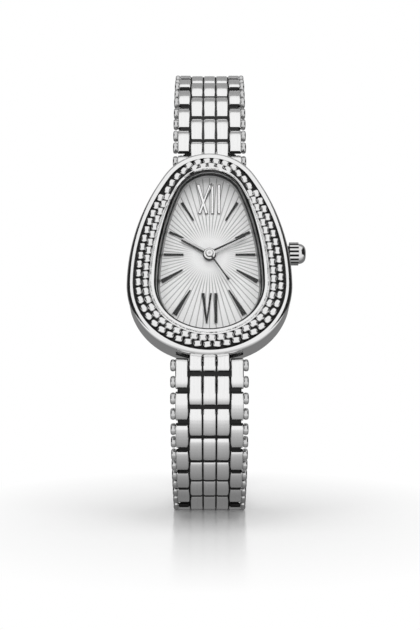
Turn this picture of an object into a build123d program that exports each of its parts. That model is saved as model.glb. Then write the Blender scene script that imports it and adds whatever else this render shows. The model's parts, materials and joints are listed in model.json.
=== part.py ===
from build123d import *
from math import atan2, cos, degrees, radians, sin
import os

# Drop-shaped bracelet watch
# Millimetres. +X to the wearer's right of the dial, +Y back, +Z up. The closed watch stands on
# its lower bracelet rows at Z = 0 and the dial faces -Y, leaning back.

os.makedirs("parts", exist_ok=True)

# Clearances
pin_seat_clearance = 0.02
running_clearance = 0.03
seat_clearance = 0.03
part_gap = 0.3
cut_overrun = 1.0

# Bracelet bars and pins
row_pitch = 4.7
bar_width = 1.68
bar_side_gap = 0.30
bar_thickness = 1.85
bar_edge_chamfer = 0.12
pin_radius = 0.35
head_radius = 0.85
head_height = 0.78
head_round = 0.5
bar_pitch = bar_width + bar_side_gap
half_band = 2 * bar_pitch + bar_width / 2
half_tongue = bar_pitch + bar_width / 2
lug_inner = 2 * bar_pitch - bar_width / 2
bar_radius = bar_thickness / 2

# How the closed bracelet runs: the slope of each row from the vertical, in degrees.
# The lower rows go down and back, lie on the ground, then rise behind the wrist.
case_tilt = 19.0
ground_slope = 90.0
lower_slopes = (-4, 17, 33, 43, 51, 54) + (ground_slope,) * 4 + (115, 135, 152, 167)
upper_slopes = (31, 34.5, 48, 64, 82, 100, 120, 140, 157, 170)
first_ground_row = lower_slopes.index(ground_slope)
rest_row = first_ground_row + 1

# Case walls and heights, stacked from the outer face of the case back at level 0
back_thickness = 0.8
back_rim_height = 0.45
holder_gap = 0.05
bridge_gap = 0.1
bridge_thickness = 0.2
train_height = 1.25
plate_thickness = 0.6
motion_height = 0.4
dial_thickness = 0.4
hand_room = 0.95
crystal_thickness = 0.5
bezel_drop = 0.05
channel_floor = 0.35
rim_height = 1.0
step_rise = 0.25
inner_step_rise = 0.2
ring_rise = 0.5
hinge_drop = 2.3
back_level = back_thickness
back_rim_level = back_level + back_rim_height
holder_level = back_rim_level + holder_gap
bridge_level = back_rim_level + bridge_gap
plate_level = bridge_level + train_height
plate_top = plate_level + plate_thickness
dial_level = plate_top + motion_height
dial_top = dial_level + dial_thickness
crystal_level = dial_top + hand_room
bezel_level = crystal_level - bezel_drop
case_top = bezel_level + rim_height
channel_level = bezel_level + channel_floor
outer_step_level = channel_level + step_rise
inner_step_level = outer_step_level + inner_step_rise
ring_level = inner_step_level + ring_rise
hinge_level = case_top - hinge_drop


def inside(size, insets):
    """A smaller drop, by an inset at the side, at the top and at the bottom"""
    return tuple(value - inset for value, inset in zip(size, insets))


# Drop outlines: half width, top and bottom from the hand axis, each inside the one before
waist = -5.0
case_top_round_share = 0.675
inner_top_round_share = 0.65
low_round_share = 0.87
case_drop = (12.0, 16.0, 15.8)
rim_insets = (0.9, 1.05, 0.6)
channel_insets = (0.5, 0.16, 0.55)
outer_row_insets = (0.42, 0.39, 0.45)
inner_step_insets = (0.46, 0.38, 0.40)
inner_row_insets = (0.47, 0.38, 0.38)
ring_insets = (0.49, 0.39, 0.42)
opening_insets = (1.01, 0.18, 1.0)
movement_insets = (0.45, 2.47, 0.4)
rim_drop = inside(case_drop, rim_insets)
outer_step_drop = inside(rim_drop, channel_insets)
outer_row_drop = inside(outer_step_drop, outer_row_insets)
inner_step_drop = inside(outer_row_drop, inner_step_insets)
inner_row_drop = inside(inner_step_drop, inner_row_insets)
ring_drop = inside(inner_row_drop, ring_insets)
opening_drop = inside(ring_drop, opening_insets)
movement_drop = inside(opening_drop, movement_insets)
dial_half_width, dial_reach_up, dial_reach_down = opening_drop
crystal_seat = 0.5
cavity_seat = 0.55
back_seat = 0.5
flange_width = 0.55
case_top_fillet = 0.75
case_bottom_fillet = 1.1
ring_round = 0.15
rim_wall = 0.6

# End links: how far their hinges lie outside the case and their pockets inside it
lower_hinge_reach = 1.0
upper_hinge_reach = 1.8
lower_pocket_depth = 2.0
upper_pocket_depth = 1.65
lower_hinge_along = -(case_drop[2] + lower_hinge_reach)
upper_hinge_along = case_drop[1] + upper_hinge_reach
lower_pocket_along = -(case_drop[2] - lower_pocket_depth)
upper_pocket_along = case_drop[1] - upper_pocket_depth

# Studs
stud_count = 57
stud_width = 0.72
stud_length = 1.04
stud_height = 0.5
stud_chamfer = 0.16

# Hands and markers
hour_angle = 60.0
minute_angle = -63.0
second_angle = -146.0
hour_length = 4.73
hour_root_width = 0.52
hour_tip_width = 0.16
hour_hub_radius = 0.92
minute_length = 6.0
minute_root_width = 0.46
minute_tip_width = 0.14
minute_hub_radius = 0.8
second_length = 5.05
second_tail_length = 1.2
second_tail_width = 0.22
second_neck_width = 0.14
second_tip_width = 0.3
second_hub_radius = 0.65
paddle_start = 3.9
paddle_length = 0.95
paddle_width = 0.42
marker_height = 0.2
hand_thickness = 0.1
hand_gap = 0.1
minute_hand_gap = 0.12
cap_height = 0.16
hour_hand_level = dial_top + marker_height + hand_gap
minute_hand_level = hour_hand_level + hand_thickness + minute_hand_gap
second_hand_level = minute_hand_level + hand_thickness + hand_gap
cap_top = second_hand_level + cap_height

# Crown, tube and stem, placed from the side of the case
crown_along = 0.87
stem_drop = 0.3
crown_inset = 0.14
crown_length = 1.34
crown_radius = 1.75
crown_dome_step = 0.25
crown_dome_height = 1.1
crown_dome_round = 0.95
neck_length = 0.36
neck_radius = 1.15
flute_count = 18
flute_radius = 0.16
tube_radius = 0.8
tube_bore = 0.5
tube_inset = 0.4
tube_length = 2.7
stem_radius = 0.27
stem_hole = 0.35
crown_level = plate_level - stem_drop
crown_inner = case_drop[0] - crown_inset
crown_outer = crown_inner + crown_length
crown_end = crown_outer + crown_dome_height
neck_inner = crown_inner - neck_length
tube_outer = case_drop[0] - tube_inset
tube_inner = tube_outer - tube_length

# Going train. The bridge, the stator and the inner end of the stem are laid out on a grid with
# so many squares between two arbors.
train_grid_share = 3.0
stem_end_share = 3.4
arbor_radius = 0.15
pivot_radius = 0.1
second_arbor_radius = 0.18
cannon_bore = 0.22
cannon_radius = 0.41
hour_pipe_bore = 0.45
hour_pipe_radius = 0.62
wheel_thickness = 0.12
tooth_height_share = 0.9
tooth_depth_share = 1.15
tooth_foot_share = 0.32
tooth_tip_share = 0.12
mesh_gap = 0.1
mesh_step = 0.25
motion_gap = 0.02
motion_step = 0.16
rotor_mesh_level = bridge_level + bridge_thickness + mesh_gap
intermediate_mesh_level = rotor_mesh_level + mesh_step
fourth_mesh_level = intermediate_mesh_level + mesh_step
third_mesh_level = fourth_mesh_level + mesh_step
minute_mesh_level = plate_top + motion_gap
hour_mesh_level = minute_mesh_level + motion_step
centre_distance = 3.0
motion_distance = 2.4
intermediate_module = 0.14
rotor_module = 0.1
third_angle = 200.0
intermediate_angle = 110.0
rotor_angle = 152.6
motion_angle = 60.0
magnet_radius = 0.55
magnet_height = 0.4
magnet_overlap = 0.1
stator_gap = 0.15
train_square = centre_distance / train_grid_share
stem_inner = stem_end_share * train_square

# Clasp, measured along the line between the two last hinges
cover_gap = 0.425
cover_thickness = 0.8
cover_round = 0.35
cover_wall = 0.9
cover_wall_depth = 0.7
leaf_hinge_back = 2.6
leaf_hinge_out = 0.7
leaf_barrel_radius = 0.6
leaf_low = 0.3
leaf_thickness = 0.7
leaf_length = 9.4
leaf_side_gap = 0.15
hook_pin_out = -0.25
end_leaf_drop = 1.0
ear_inner = 2.1
ear_side_gap = 0.9
ear_round_gap = 0.1
button_along = 16.0
button_out = 0.35
button_radius = 0.6
button_flange_radius = 0.85
button_flange = 0.45
button_proud = 0.7
button_round = 0.2
cover_plate_inner = bar_radius + cover_gap
cover_plate_outer = cover_plate_inner + cover_thickness
cover_wall_inner = half_band - cover_wall
end_leaf_outer = -end_leaf_drop
end_leaf_inner = end_leaf_outer - leaf_thickness
button_reach = half_band + button_proud


# Side-view positions: each point is (back, up) from the hand axis at the dial face
def case_side_point(along, level):
    """Place of a point of the case seen from the side"""
    out = level - dial_top
    back = along * sin(radians(case_tilt)) - out * cos(radians(case_tilt))
    up = along * cos(radians(case_tilt)) + out * sin(radians(case_tilt))
    return back, up


def hinge_line(start, slopes, way):
    """Hinge places of a run of rows; way is -1 down from the case and +1 up from it"""
    places = [start]
    for slope in slopes:
        back = row_pitch * sin(radians(slope))
        up = way * row_pitch * cos(radians(slope))
        places.append((places[-1][0] + back, places[-1][1] + up))
    return places


lower_line = hinge_line(case_side_point(lower_hinge_along, hinge_level), lower_slopes, -1)
upper_line = hinge_line(case_side_point(upper_hinge_along, hinge_level), upper_slopes, 1)

# The frame's origin lies under the centre bar of the second row on the ground
centre_bar_share = 0.75
hub_up = bar_radius - lower_line[rest_row][1]
hub_back = -(lower_line[rest_row][0] + centre_bar_share * row_pitch)


def side_point(place):
    """Turn a side-view place into a point of the frame"""
    return Vector(0, place[0] + hub_back, place[1] + hub_up)


# Planes of the case: x across, y along the dial, z out through the crystal
case_out = Vector(0, -cos(radians(case_tilt)), sin(radians(case_tilt)))
case_along = Vector(0, sin(radians(case_tilt)), cos(radians(case_tilt)))
case_plane = Plane(
    origin=side_point((0, 0)) - case_out * dial_top, x_dir=(1, 0, 0), z_dir=case_out
)


def case_point(across, along, level):
    """A point of the case in the frame"""
    return case_plane.from_local_coords((across, along, level))


def drop(size, grow=0.0, top_share=inner_top_round_share):
    """Drop outline from tangent arcs: round top, long side, low corner and shallow bottom"""
    half_width, top, bottom = (value + grow for value in size)
    top_radius = top_share * half_width
    rise = top - top_radius - waist
    fall = bottom + waist
    low_radius = low_round_share * half_width
    corner = half_width - low_radius
    side_radius = (half_width**2 + rise**2 - top_radius**2) / (2 * (half_width - top_radius))
    base_radius = (corner**2 + fall**2 - low_radius**2) / (2 * (fall - low_radius))
    top_turn = degrees(atan2(rise, side_radius - half_width))
    low_turn = degrees(atan2(fall - base_radius, corner))
    with BuildSketch(mode=Mode.PRIVATE) as outline:
        with BuildLine():
            CenterArc((0, base_radius - bottom), base_radius, -90, low_turn + 90)
            CenterArc((corner, waist), low_radius, low_turn, -low_turn)
            CenterArc((half_width - side_radius, waist), side_radius, 0, top_turn)
            CenterArc((0, top - top_radius), top_radius, top_turn, 90 - top_turn)
            mirror(about=Plane.YZ)
        make_face()
    return outline.sketch


# Bracelet bars, pins and rows
def pin_with_heads(half_length, with_heads=True):
    """Cross pin along X, with a domed head at each end"""
    with BuildPart() as pin:
        with BuildSketch(Plane.YZ):
            Circle(pin_radius)
        extrude(amount=half_length, both=True)
        if with_heads:
            for side in (1, -1):
                with BuildSketch(Plane.YZ.offset(side * (half_length + pin_seat_clearance))):
                    Circle(head_radius)
                extrude(amount=side * head_height)
                with BuildSketch(Plane.YZ.offset(side * half_length)):
                    Circle(pin_radius)
                extrude(amount=side * head_round)
                head_edge = pin.edges().filter_by(GeomType.CIRCLE).sort_by(Axis.X)
                fillet(head_edge[-1] if side > 0 else head_edge[0], head_round)
    return pin.part


def bar(far_clearance):
    """One bracelet bar from pin to pin with bevelled side edges"""
    with BuildPart() as blank:
        with BuildSketch(Plane.YZ):
            with Locations((row_pitch / 4, 0)):
                SlotCenterToCenter(row_pitch / 2, bar_thickness)
        extrude(amount=bar_width / 2, both=True)
        sides = blank.faces().filter_by(Axis.X)
        chamfer(sides.edges(), bar_edge_chamfer)
        with BuildSketch(Plane.YZ):
            Circle(pin_radius + pin_seat_clearance)
            with Locations((row_pitch / 2, 0)):
                Circle(pin_radius + far_clearance)
        extrude(amount=bar_width, both=True, mode=Mode.SUBTRACT)
    return blank.part


outer_bar = bar(pin_seat_clearance)
centre_bar = bar(running_clearance)
band_pin = pin_with_heads(half_band)

with BuildPart() as row_form:
    with Locations((-2 * bar_pitch, 0, 0), (2 * bar_pitch, 0, 0)):
        add(outer_bar)
    with Locations(*((step * bar_pitch, row_pitch / 2, 0) for step in (-1, 0, 1))):
        add(centre_bar)
    with Locations((0, 0, 0), (0, row_pitch / 2, 0)):
        add(band_pin)


def strap_plane(line, index):
    """Plane of one row: x across, y along the row to its far hinge"""
    start = side_point(line[index])
    along = (side_point(line[index + 1]) - start).normalized()
    return Plane(origin=start, x_dir=(1, 0, 0), z_dir=Vector(1, 0, 0).cross(along))


def strap(line, name):
    """Every row of one half of the bracelet"""
    for index in range(len(line) - 1):
        with BuildPart() as row:
            with Locations(strap_plane(line, index).location):
                add(row_form.part)
        row.part.label = f"{name}_row_{index + 1:02d}"
        export_step(row.part, f"parts/{name}_row_{index + 1:02d}.step")


strap(lower_line, "lower")
strap(upper_line, "upper")


# End links: a block in the case, a grooved tongue and a pin of its own
def end_link(hinge_along, pocket_along, with_heads, name):
    """One end link, built along the case plane"""
    way = 1 if hinge_along > 0 else -1
    start = pocket_along + way * seat_clearance
    shoulder_pin = hinge_along - way * row_pitch / 2
    shoulder = shoulder_pin + way * bar_radius
    side_plane = Plane(
        origin=case_point(0, 0, hinge_level), x_dir=case_along * way, z_dir=(way, 0, 0)
    )
    reach = abs(hinge_along)
    with BuildPart() as link:
        with BuildSketch(side_plane):
            with Locations(((abs(start) + reach) / 2, 0)):
                Rectangle(reach - abs(start), bar_thickness)
            with Locations((reach, 0)):
                Circle(bar_radius)
        extrude(amount=half_tongue, both=True)
        with BuildSketch(side_plane):
            with Locations(((abs(start) + abs(shoulder)) / 2, 0)):
                Rectangle(abs(shoulder) - abs(start), bar_thickness)
        extrude(amount=half_band, both=True)
        grooves = case_plane.offset(hinge_level + bar_radius)
        groove_length = reach + bar_radius - abs(start)
        with BuildSketch(grooves):
            with Locations((0, way * (abs(start) + groove_length / 2))):
                with GridLocations(bar_pitch, groove_length, 4, 1):
                    Rectangle(bar_side_gap, groove_length)
        extrude(amount=-bar_side_gap, mode=Mode.SUBTRACT)
        with BuildSketch(side_plane):
            with Locations((reach, 0)):
                Circle(pin_radius + running_clearance)
            with Locations((abs(shoulder_pin), 0)):
                Circle(pin_radius + pin_seat_clearance)
        extrude(amount=half_band + cut_overrun, both=True, mode=Mode.SUBTRACT)
    pin_place = Plane(origin=case_point(0, shoulder_pin, hinge_level), x_dir=(1, 0, 0),
                      z_dir=case_out)
    with BuildPart() as whole:
        add(link.part)
        with Locations(pin_place.location):
            add(pin_with_heads(half_band, with_heads))
    whole.part.label = name
    export_step(whole.part, f"parts/{name}.step")


end_link(lower_hinge_along, lower_pocket_along, False, "end_link_lower")
end_link(upper_hinge_along, upper_pocket_along, True, "end_link_upper")

# Case middle
with BuildPart() as case_body:
    with BuildSketch(case_plane):
        add(drop(case_drop, top_share=case_top_round_share))
    extrude(amount=case_top)
    rims = case_body.faces().sort_by(Axis(case_plane.origin, case_out))
    fillet(rims[-1].edges(), case_top_fillet)
    rims = case_body.faces().sort_by(Axis(case_plane.origin, case_out))
    fillet(rims[0].edges(), case_bottom_fillet)
    with BuildSketch(case_plane.offset(bezel_level)):
        add(drop(rim_drop))
    extrude(amount=case_top - bezel_level + cut_overrun, mode=Mode.SUBTRACT)
    with BuildSketch(case_plane):
        add(drop(opening_drop, cavity_seat))
    extrude(amount=bezel_level, mode=Mode.SUBTRACT)
    with BuildSketch(case_plane):
        add(drop(opening_drop, cavity_seat + back_seat))
    extrude(amount=back_level, mode=Mode.SUBTRACT)
    pocket_half_height = bar_radius + seat_clearance
    pocket_reach = row_pitch
    with BuildSketch(case_plane.offset(hinge_level - pocket_half_height)):
        with Locations((0, upper_pocket_along + pocket_reach / 2)):
            Rectangle(2 * (half_band + seat_clearance), pocket_reach)
        with Locations((0, lower_pocket_along - pocket_reach / 2)):
            Rectangle(2 * (half_band + seat_clearance), pocket_reach)
    extrude(amount=2 * pocket_half_height, mode=Mode.SUBTRACT)
    crown_plane = Plane(
        origin=case_point(0, crown_along, crown_level), x_dir=case_along, z_dir=(1, 0, 0)
    )
    with BuildSketch(crown_plane.offset(tube_inner)):
        Circle(tube_radius + pin_seat_clearance)
    extrude(amount=crown_end - tube_inner, mode=Mode.SUBTRACT)
    with BuildSketch(crown_plane.offset(stem_inner)):
        Circle(stem_hole)
    extrude(amount=crown_end - stem_inner, mode=Mode.SUBTRACT)
    with BuildSketch(crown_plane.offset(neck_inner - seat_clearance)):
        Circle(neck_radius + seat_clearance)
    extrude(amount=crown_end - neck_inner, mode=Mode.SUBTRACT)
case_body.part.label = "case_body"
export_step(case_body.part, "parts/case_body.step")

# Case back, pressed into the back of the case
with BuildPart() as case_back:
    with BuildSketch(case_plane):
        add(drop(opening_drop, cavity_seat + back_seat - pin_seat_clearance))
    extrude(amount=back_level)
    with BuildSketch(case_plane.offset(back_level)):
        add(drop(opening_drop, cavity_seat - pin_seat_clearance))
        add(drop(opening_drop, cavity_seat - rim_wall), mode=Mode.SUBTRACT)
    extrude(amount=back_rim_level - back_level)
case_back.part.label = "case_back"
export_step(case_back.part, "parts/case_back.step")

# Bezel: channel floor, two steps for the studs and the polished ring
with BuildPart() as bezel:
    with BuildSketch(case_plane.offset(bezel_level)):
        add(drop(rim_drop, -pin_seat_clearance))
    extrude(amount=channel_level - bezel_level)
    with BuildSketch(case_plane.offset(bezel_level)):
        add(drop(outer_step_drop))
    extrude(amount=outer_step_level - bezel_level)
    with BuildSketch(case_plane.offset(bezel_level)):
        add(drop(inner_step_drop))
    extrude(amount=inner_step_level - bezel_level)
    with BuildSketch(case_plane.offset(bezel_level)):
        add(drop(ring_drop))
    extrude(amount=ring_level - bezel_level)
    with BuildSketch(case_plane.offset(bezel_level)):
        add(drop(opening_drop))
    extrude(amount=ring_level - bezel_level, mode=Mode.SUBTRACT)
    crest = bezel.faces().sort_by(Axis(case_plane.origin, case_out))[-1]
    fillet(crest.outer_wire().edges(), ring_round)
    with BuildSketch(case_plane.offset(bezel_level)):
        add(drop(opening_drop, crystal_seat + pin_seat_clearance))
    recess = crystal_level + crystal_thickness - bezel_level + pin_seat_clearance
    extrude(amount=recess, mode=Mode.SUBTRACT)
bezel.part.label = "bezel"
export_step(bezel.part, "parts/bezel.step")

# Studs, two rows side by side on the steps of the bezel
with BuildPart() as stud:
    Box(stud_length, stud_width, stud_height, align=(Align.CENTER, Align.CENTER, Align.MIN))
    chamfer(stud.edges().filter_by(Axis.Z), stud_chamfer)
    chamfer(stud.faces().sort_by(Axis.Z)[-1].edges(), stud_chamfer)


def stud_places(size, level):
    """Places of one row of studs, evenly along its drop outline"""
    line = drop(size).faces()[0].outer_wire()
    places = []
    for index in range(stud_count):
        share = (index + 0.5) / stud_count
        point = line.position_at(share)
        way = line.tangent_at(share)
        turn = degrees(atan2(way.Y, way.X))
        places.append(Location((point.X, point.Y, level), (0, 0, turn)))
    return places


with BuildPart(case_plane) as bezel_studs:
    with Locations(*stud_places(outer_row_drop, outer_step_level)):
        add(stud.part)
    with Locations(*stud_places(inner_row_drop, inner_step_level)):
        add(stud.part)
bezel_studs.part.label = "bezel_studs"
export_step(bezel_studs.part, "parts/bezel_studs.step")

# Crystal
with BuildPart() as crystal:
    with BuildSketch(case_plane.offset(crystal_level)):
        add(drop(opening_drop, crystal_seat))
    extrude(amount=crystal_thickness)
crystal.part.label = "crystal"
export_step(crystal.part, "parts/crystal.step")

# Inner flange between dial and crystal, sloping in towards the dial
dial_edge = crystal_seat - pin_seat_clearance
with BuildPart() as dial_ring:
    with BuildSketch(case_plane.offset(dial_top)):
        add(drop(opening_drop, dial_edge))
    extrude(amount=crystal_level - dial_top)
    with BuildSketch(case_plane.offset(dial_top)):
        add(drop(opening_drop, -flange_width))
    with BuildSketch(case_plane.offset(crystal_level)):
        add(drop(opening_drop, -pin_seat_clearance))
    loft(mode=Mode.SUBTRACT)
dial_ring.part.label = "dial_ring"
export_step(dial_ring.part, "parts/dial_ring.step")

# Dial
with BuildPart() as dial:
    with BuildSketch(case_plane.offset(dial_level)):
        add(drop(opening_drop, dial_edge))
        Circle(hour_pipe_radius + part_gap, mode=Mode.SUBTRACT)
    extrude(amount=dial_top - dial_level)
dial.part.label = "dial"
export_step(dial.part, "parts/dial.step")

# The dial is laid out on a grid: so many squares from the middle to its side, top and bottom.
# Applied markers of the right half, in squares: inner end, outer end, inner and outer width.
dial_grid_shares = (7.75, 13.07, 12.0)
marker_shares = (
    ((2.39, 5.50), (4.17, 8.38), 0.20, 0.42),
    ((3.81, 2.63), (5.95, 3.62), 0.20, 0.36),
    ((3.83, 0.0), (6.75, 0.0), 0.28, 0.36),
    ((3.96, -2.40), (7.0, -4.23), 0.18, 0.64),
    ((2.80, -5.56), (5.04, -9.33), 0.18, 0.72),
)
# Strokes of the two numerals, in squares: across at top and foot, width at top and foot
twelve_span_shares = (11.35, 6.55)
twelve_stroke_shares = (
    (-1.72, -0.42, 0.50, 0.42), (0.08, -1.52, 0.30, 0.42),
    (0.42, 0.42, 0.42, 0.42), (1.42, 1.42, 0.42, 0.42),
)
six_span_shares = (-6.05, -10.6)
six_stroke_shares = (
    (-0.95, -0.42, 0.46, 0.20), (0.22, -0.42, 0.26, 0.20), (0.92, 0.92, 0.44, 0.44),
)
dial_square = dial_half_width / dial_grid_shares[0]


def dial_place(across_share, along_share):
    """A place on the dial, counted in squares of its grid"""
    reach_up = along_share * dial_reach_up / dial_grid_shares[1]
    reach_down = along_share * dial_reach_down / dial_grid_shares[2]
    return across_share * dial_square, reach_up if along_share > 0 else reach_down


def wedge(first, last, first_width, last_width):
    """Flat tapering bar between two points, for the sketch that is open"""
    run = Vector(*last) - Vector(*first)
    side = Vector(-run.Y, run.X).normalized()
    near = side * (first_width / 2)
    far = side * (last_width / 2)
    corners = (
        Vector(*first) + near, Vector(*last) + far, Vector(*last) - far, Vector(*first) - near
    )
    with BuildSketch(mode=Mode.PRIVATE) as flat:
        with BuildLine():
            Polyline(*corners, close=True)
        make_face()
    return flat.sketch


with BuildPart() as hour_markers:
    with BuildSketch(case_plane.offset(dial_top)):
        for first, last, first_share, last_share in marker_shares:
            for side in (1, -1):
                start = dial_place(side * first[0], first[1])
                end = dial_place(side * last[0], last[1])
                add(wedge(start, end, first_share * dial_square, last_share * dial_square))
        for span, strokes in (
            (twelve_span_shares, twelve_stroke_shares), (six_span_shares, six_stroke_shares)
        ):
            for top_share, foot_share, top_width_share, foot_width_share in strokes:
                start = dial_place(top_share, span[0])
                end = dial_place(foot_share, span[1])
                add(wedge(start, end, top_width_share * dial_square,
                          foot_width_share * dial_square))
    extrude(amount=marker_height)
hour_markers.part.label = "hour_markers"
export_step(hour_markers.part, "parts/hour_markers.step")

# Hands
def hand(level, angle, length, root_width, tip_width, bore, hub_radius):
    """A tapering hand with a round hub, turned to its place on the dial"""
    with BuildPart() as whole:
        with BuildSketch(case_plane.offset(level)):
            turn = radians(angle + 90)
            tip = (length * cos(turn), length * sin(turn))
            add(wedge((0, 0), tip, root_width, tip_width))
            Circle(hub_radius)
            Circle(bore + pin_seat_clearance / 2, mode=Mode.SUBTRACT)
        extrude(amount=hand_thickness)
    return whole


hour_hand = hand(
    hour_hand_level, hour_angle, hour_length, hour_root_width, hour_tip_width,
    hour_pipe_radius, hour_hub_radius,
)
hour_hand.part.label = "hour_hand"
export_step(hour_hand.part, "parts/hour_hand.step")

minute_hand = hand(
    minute_hand_level, minute_angle, minute_length, minute_root_width, minute_tip_width,
    cannon_radius, minute_hub_radius,
)
minute_hand.part.label = "minute_hand"
export_step(minute_hand.part, "parts/minute_hand.step")

# The second hand widens before its tip and its hub carries the cap
with BuildPart() as second_hand:
    turn = radians(second_angle + 90)
    tip = (second_length * cos(turn), second_length * sin(turn))
    neck = (paddle_start * cos(turn), paddle_start * sin(turn))
    shoulder_reach = paddle_start + paddle_length
    shoulder = (shoulder_reach * cos(turn), shoulder_reach * sin(turn))
    tail = (-second_tail_length * cos(turn), -second_tail_length * sin(turn))
    with BuildSketch(case_plane.offset(second_hand_level)):
        add(wedge(tail, neck, second_tail_width, second_neck_width))
        add(wedge(neck, shoulder, second_neck_width, paddle_width))
        add(wedge(shoulder, tip, paddle_width, second_tip_width))
    extrude(amount=hand_thickness)
    with BuildSketch(case_plane.offset(second_hand_level)):
        Circle(second_hub_radius)
    extrude(amount=cap_top - second_hand_level)
    with BuildSketch(case_plane.offset(second_hand_level)):
        Circle(second_arbor_radius + pin_seat_clearance / 2)
    extrude(amount=hand_thickness, mode=Mode.SUBTRACT)
second_hand.part.label = "second_hand"
export_step(second_hand.part, "parts/second_hand.step")


# Going train
def polar_place(start, distance, angle):
    """A place at a distance and angle from another, on the case plane"""
    return (
        start[0] + distance * cos(radians(angle)),
        start[1] + distance * sin(radians(angle)),
    )


def gear_face(teeth, module, turn):
    """Toothed disc outline with its first tooth at the given angle"""
    pitch_radius = teeth * module / 2
    tip_radius = pitch_radius + tooth_height_share * module
    root_radius = pitch_radius - tooth_depth_share * module
    step = 360 / teeth
    with BuildSketch(mode=Mode.PRIVATE) as face:
        with BuildLine():
            corners = []
            for index in range(teeth):
                for radius, share in (
                    (root_radius, -tooth_foot_share), (tip_radius, -tooth_tip_share),
                    (tip_radius, tooth_tip_share), (root_radius, tooth_foot_share),
                ):
                    angle = radians(turn + (index + share) * step)
                    corners.append((radius * cos(angle), radius * sin(angle)))
            Polyline(*corners, close=True)
        make_face()
    return face.sketch


def gear(place, teeth, module, turn, level):
    """One toothed disc at its level, for the part that is open"""
    with BuildPart(mode=Mode.PRIVATE) as disc:
        with BuildSketch(case_plane.offset(level)):
            with Locations(place):
                add(gear_face(teeth, module, turn))
        extrude(amount=wheel_thickness)
    return disc.part


def arbor(place, radius, low, high):
    """Round arbor between two levels, for the part that is open"""
    with BuildPart(mode=Mode.PRIVATE) as rod:
        with BuildSketch(case_plane.offset(low)):
            with Locations(place):
                Circle(radius)
        extrude(amount=high - low)
    return rod.part


centre = (0.0, 0.0)
third_teeth = (60, 8)
centre_teeth = 64
fourth_teeth = (35, 8)
intermediate_teeth = (42, 7)
rotor_teeth = 7
minute_teeth = (36, 10)
hour_teeth = 40
cannon_teeth = 12
centre_module = 2 * centre_distance / (centre_teeth + third_teeth[1])
third_module = 2 * centre_distance / (third_teeth[0] + fourth_teeth[1])
cannon_module = 2 * motion_distance / (cannon_teeth + minute_teeth[0])
hour_module = 2 * motion_distance / (minute_teeth[1] + hour_teeth)
intermediate_distance = intermediate_module * (fourth_teeth[0] + intermediate_teeth[1]) / 2
rotor_distance = rotor_module * (intermediate_teeth[0] + rotor_teeth) / 2
third_place = polar_place(centre, centre_distance, third_angle)
intermediate_place = polar_place(centre, intermediate_distance, intermediate_angle)
rotor_place = polar_place(intermediate_place, rotor_distance, rotor_angle)
motion_place = polar_place(centre, motion_distance, motion_angle)
stator_level = intermediate_mesh_level + stator_gap
magnet_level = stator_level - magnet_overlap
pivot_low = bridge_level + pin_seat_clearance
pivot_high = plate_level + plate_thickness / 2


def meeting_turn(teeth, angle):
    """Turn that puts a gap of this gear at an angle"""
    return angle + 180 / teeth


def pivots(place):
    """Thin pivots in the bridge and plate and the thicker arbor between them"""
    shoulder_low = bridge_level + bridge_thickness + pin_seat_clearance
    shoulder_high = plate_level - pin_seat_clearance
    return (
        arbor(place, pivot_radius, pivot_low, pivot_high),
        arbor(place, arbor_radius, shoulder_low, shoulder_high),
    )


with BuildPart() as rotor:
    add(pivots(rotor_place))
    rotor_turn = meeting_turn(rotor_teeth, rotor_angle + 180)
    add(gear(rotor_place, rotor_teeth, rotor_module, rotor_turn, rotor_mesh_level))
    add(arbor(rotor_place, magnet_radius, magnet_level, magnet_level + magnet_height))
rotor.part.label = "rotor"
export_step(rotor.part, "parts/rotor.step")

with BuildPart() as intermediate_wheel:
    add(pivots(intermediate_place))
    add(gear(intermediate_place, intermediate_teeth[0], rotor_module, rotor_angle,
             rotor_mesh_level))
    pinion_turn = meeting_turn(intermediate_teeth[1], intermediate_angle + 180)
    add(gear(intermediate_place, intermediate_teeth[1], intermediate_module, pinion_turn,
             intermediate_mesh_level))
intermediate_wheel.part.label = "intermediate_wheel"
export_step(intermediate_wheel.part, "parts/intermediate_wheel.step")

with BuildPart() as fourth_wheel:
    add(arbor(centre, second_arbor_radius, bridge_level + bridge_thickness + pin_seat_clearance,
              second_hand_level + hand_thickness))
    add(arbor(centre, pivot_radius, pivot_low, plate_level))
    add(gear(centre, fourth_teeth[0], intermediate_module, intermediate_angle,
             intermediate_mesh_level))
    pinion_turn = meeting_turn(fourth_teeth[1], third_angle)
    add(gear(centre, fourth_teeth[1], third_module, pinion_turn, fourth_mesh_level))
fourth_wheel.part.label = "fourth_wheel"
export_step(fourth_wheel.part, "parts/fourth_wheel.step")

with BuildPart() as third_wheel:
    add(pivots(third_place))
    add(gear(third_place, third_teeth[0], third_module, third_angle + 180, fourth_mesh_level))
    pinion_turn = meeting_turn(third_teeth[1], third_angle + 180)
    add(gear(third_place, third_teeth[1], centre_module, pinion_turn, third_mesh_level))
third_wheel.part.label = "third_wheel"
export_step(third_wheel.part, "parts/third_wheel.step")

# Centre wheel with its long pipe, which carries the cannon pinion and the minute hand
with BuildPart() as centre_wheel:
    add(gear(centre, centre_teeth, centre_module, third_angle, third_mesh_level))
    add(arbor(centre, cannon_radius, third_mesh_level, minute_hand_level + hand_thickness))
    add(gear(centre, cannon_teeth, cannon_module, motion_angle, minute_mesh_level))
    add(arbor(centre, cannon_bore, third_mesh_level, cap_top), mode=Mode.SUBTRACT)
centre_wheel.part.label = "centre_wheel"
export_step(centre_wheel.part, "parts/centre_wheel.step")

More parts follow.
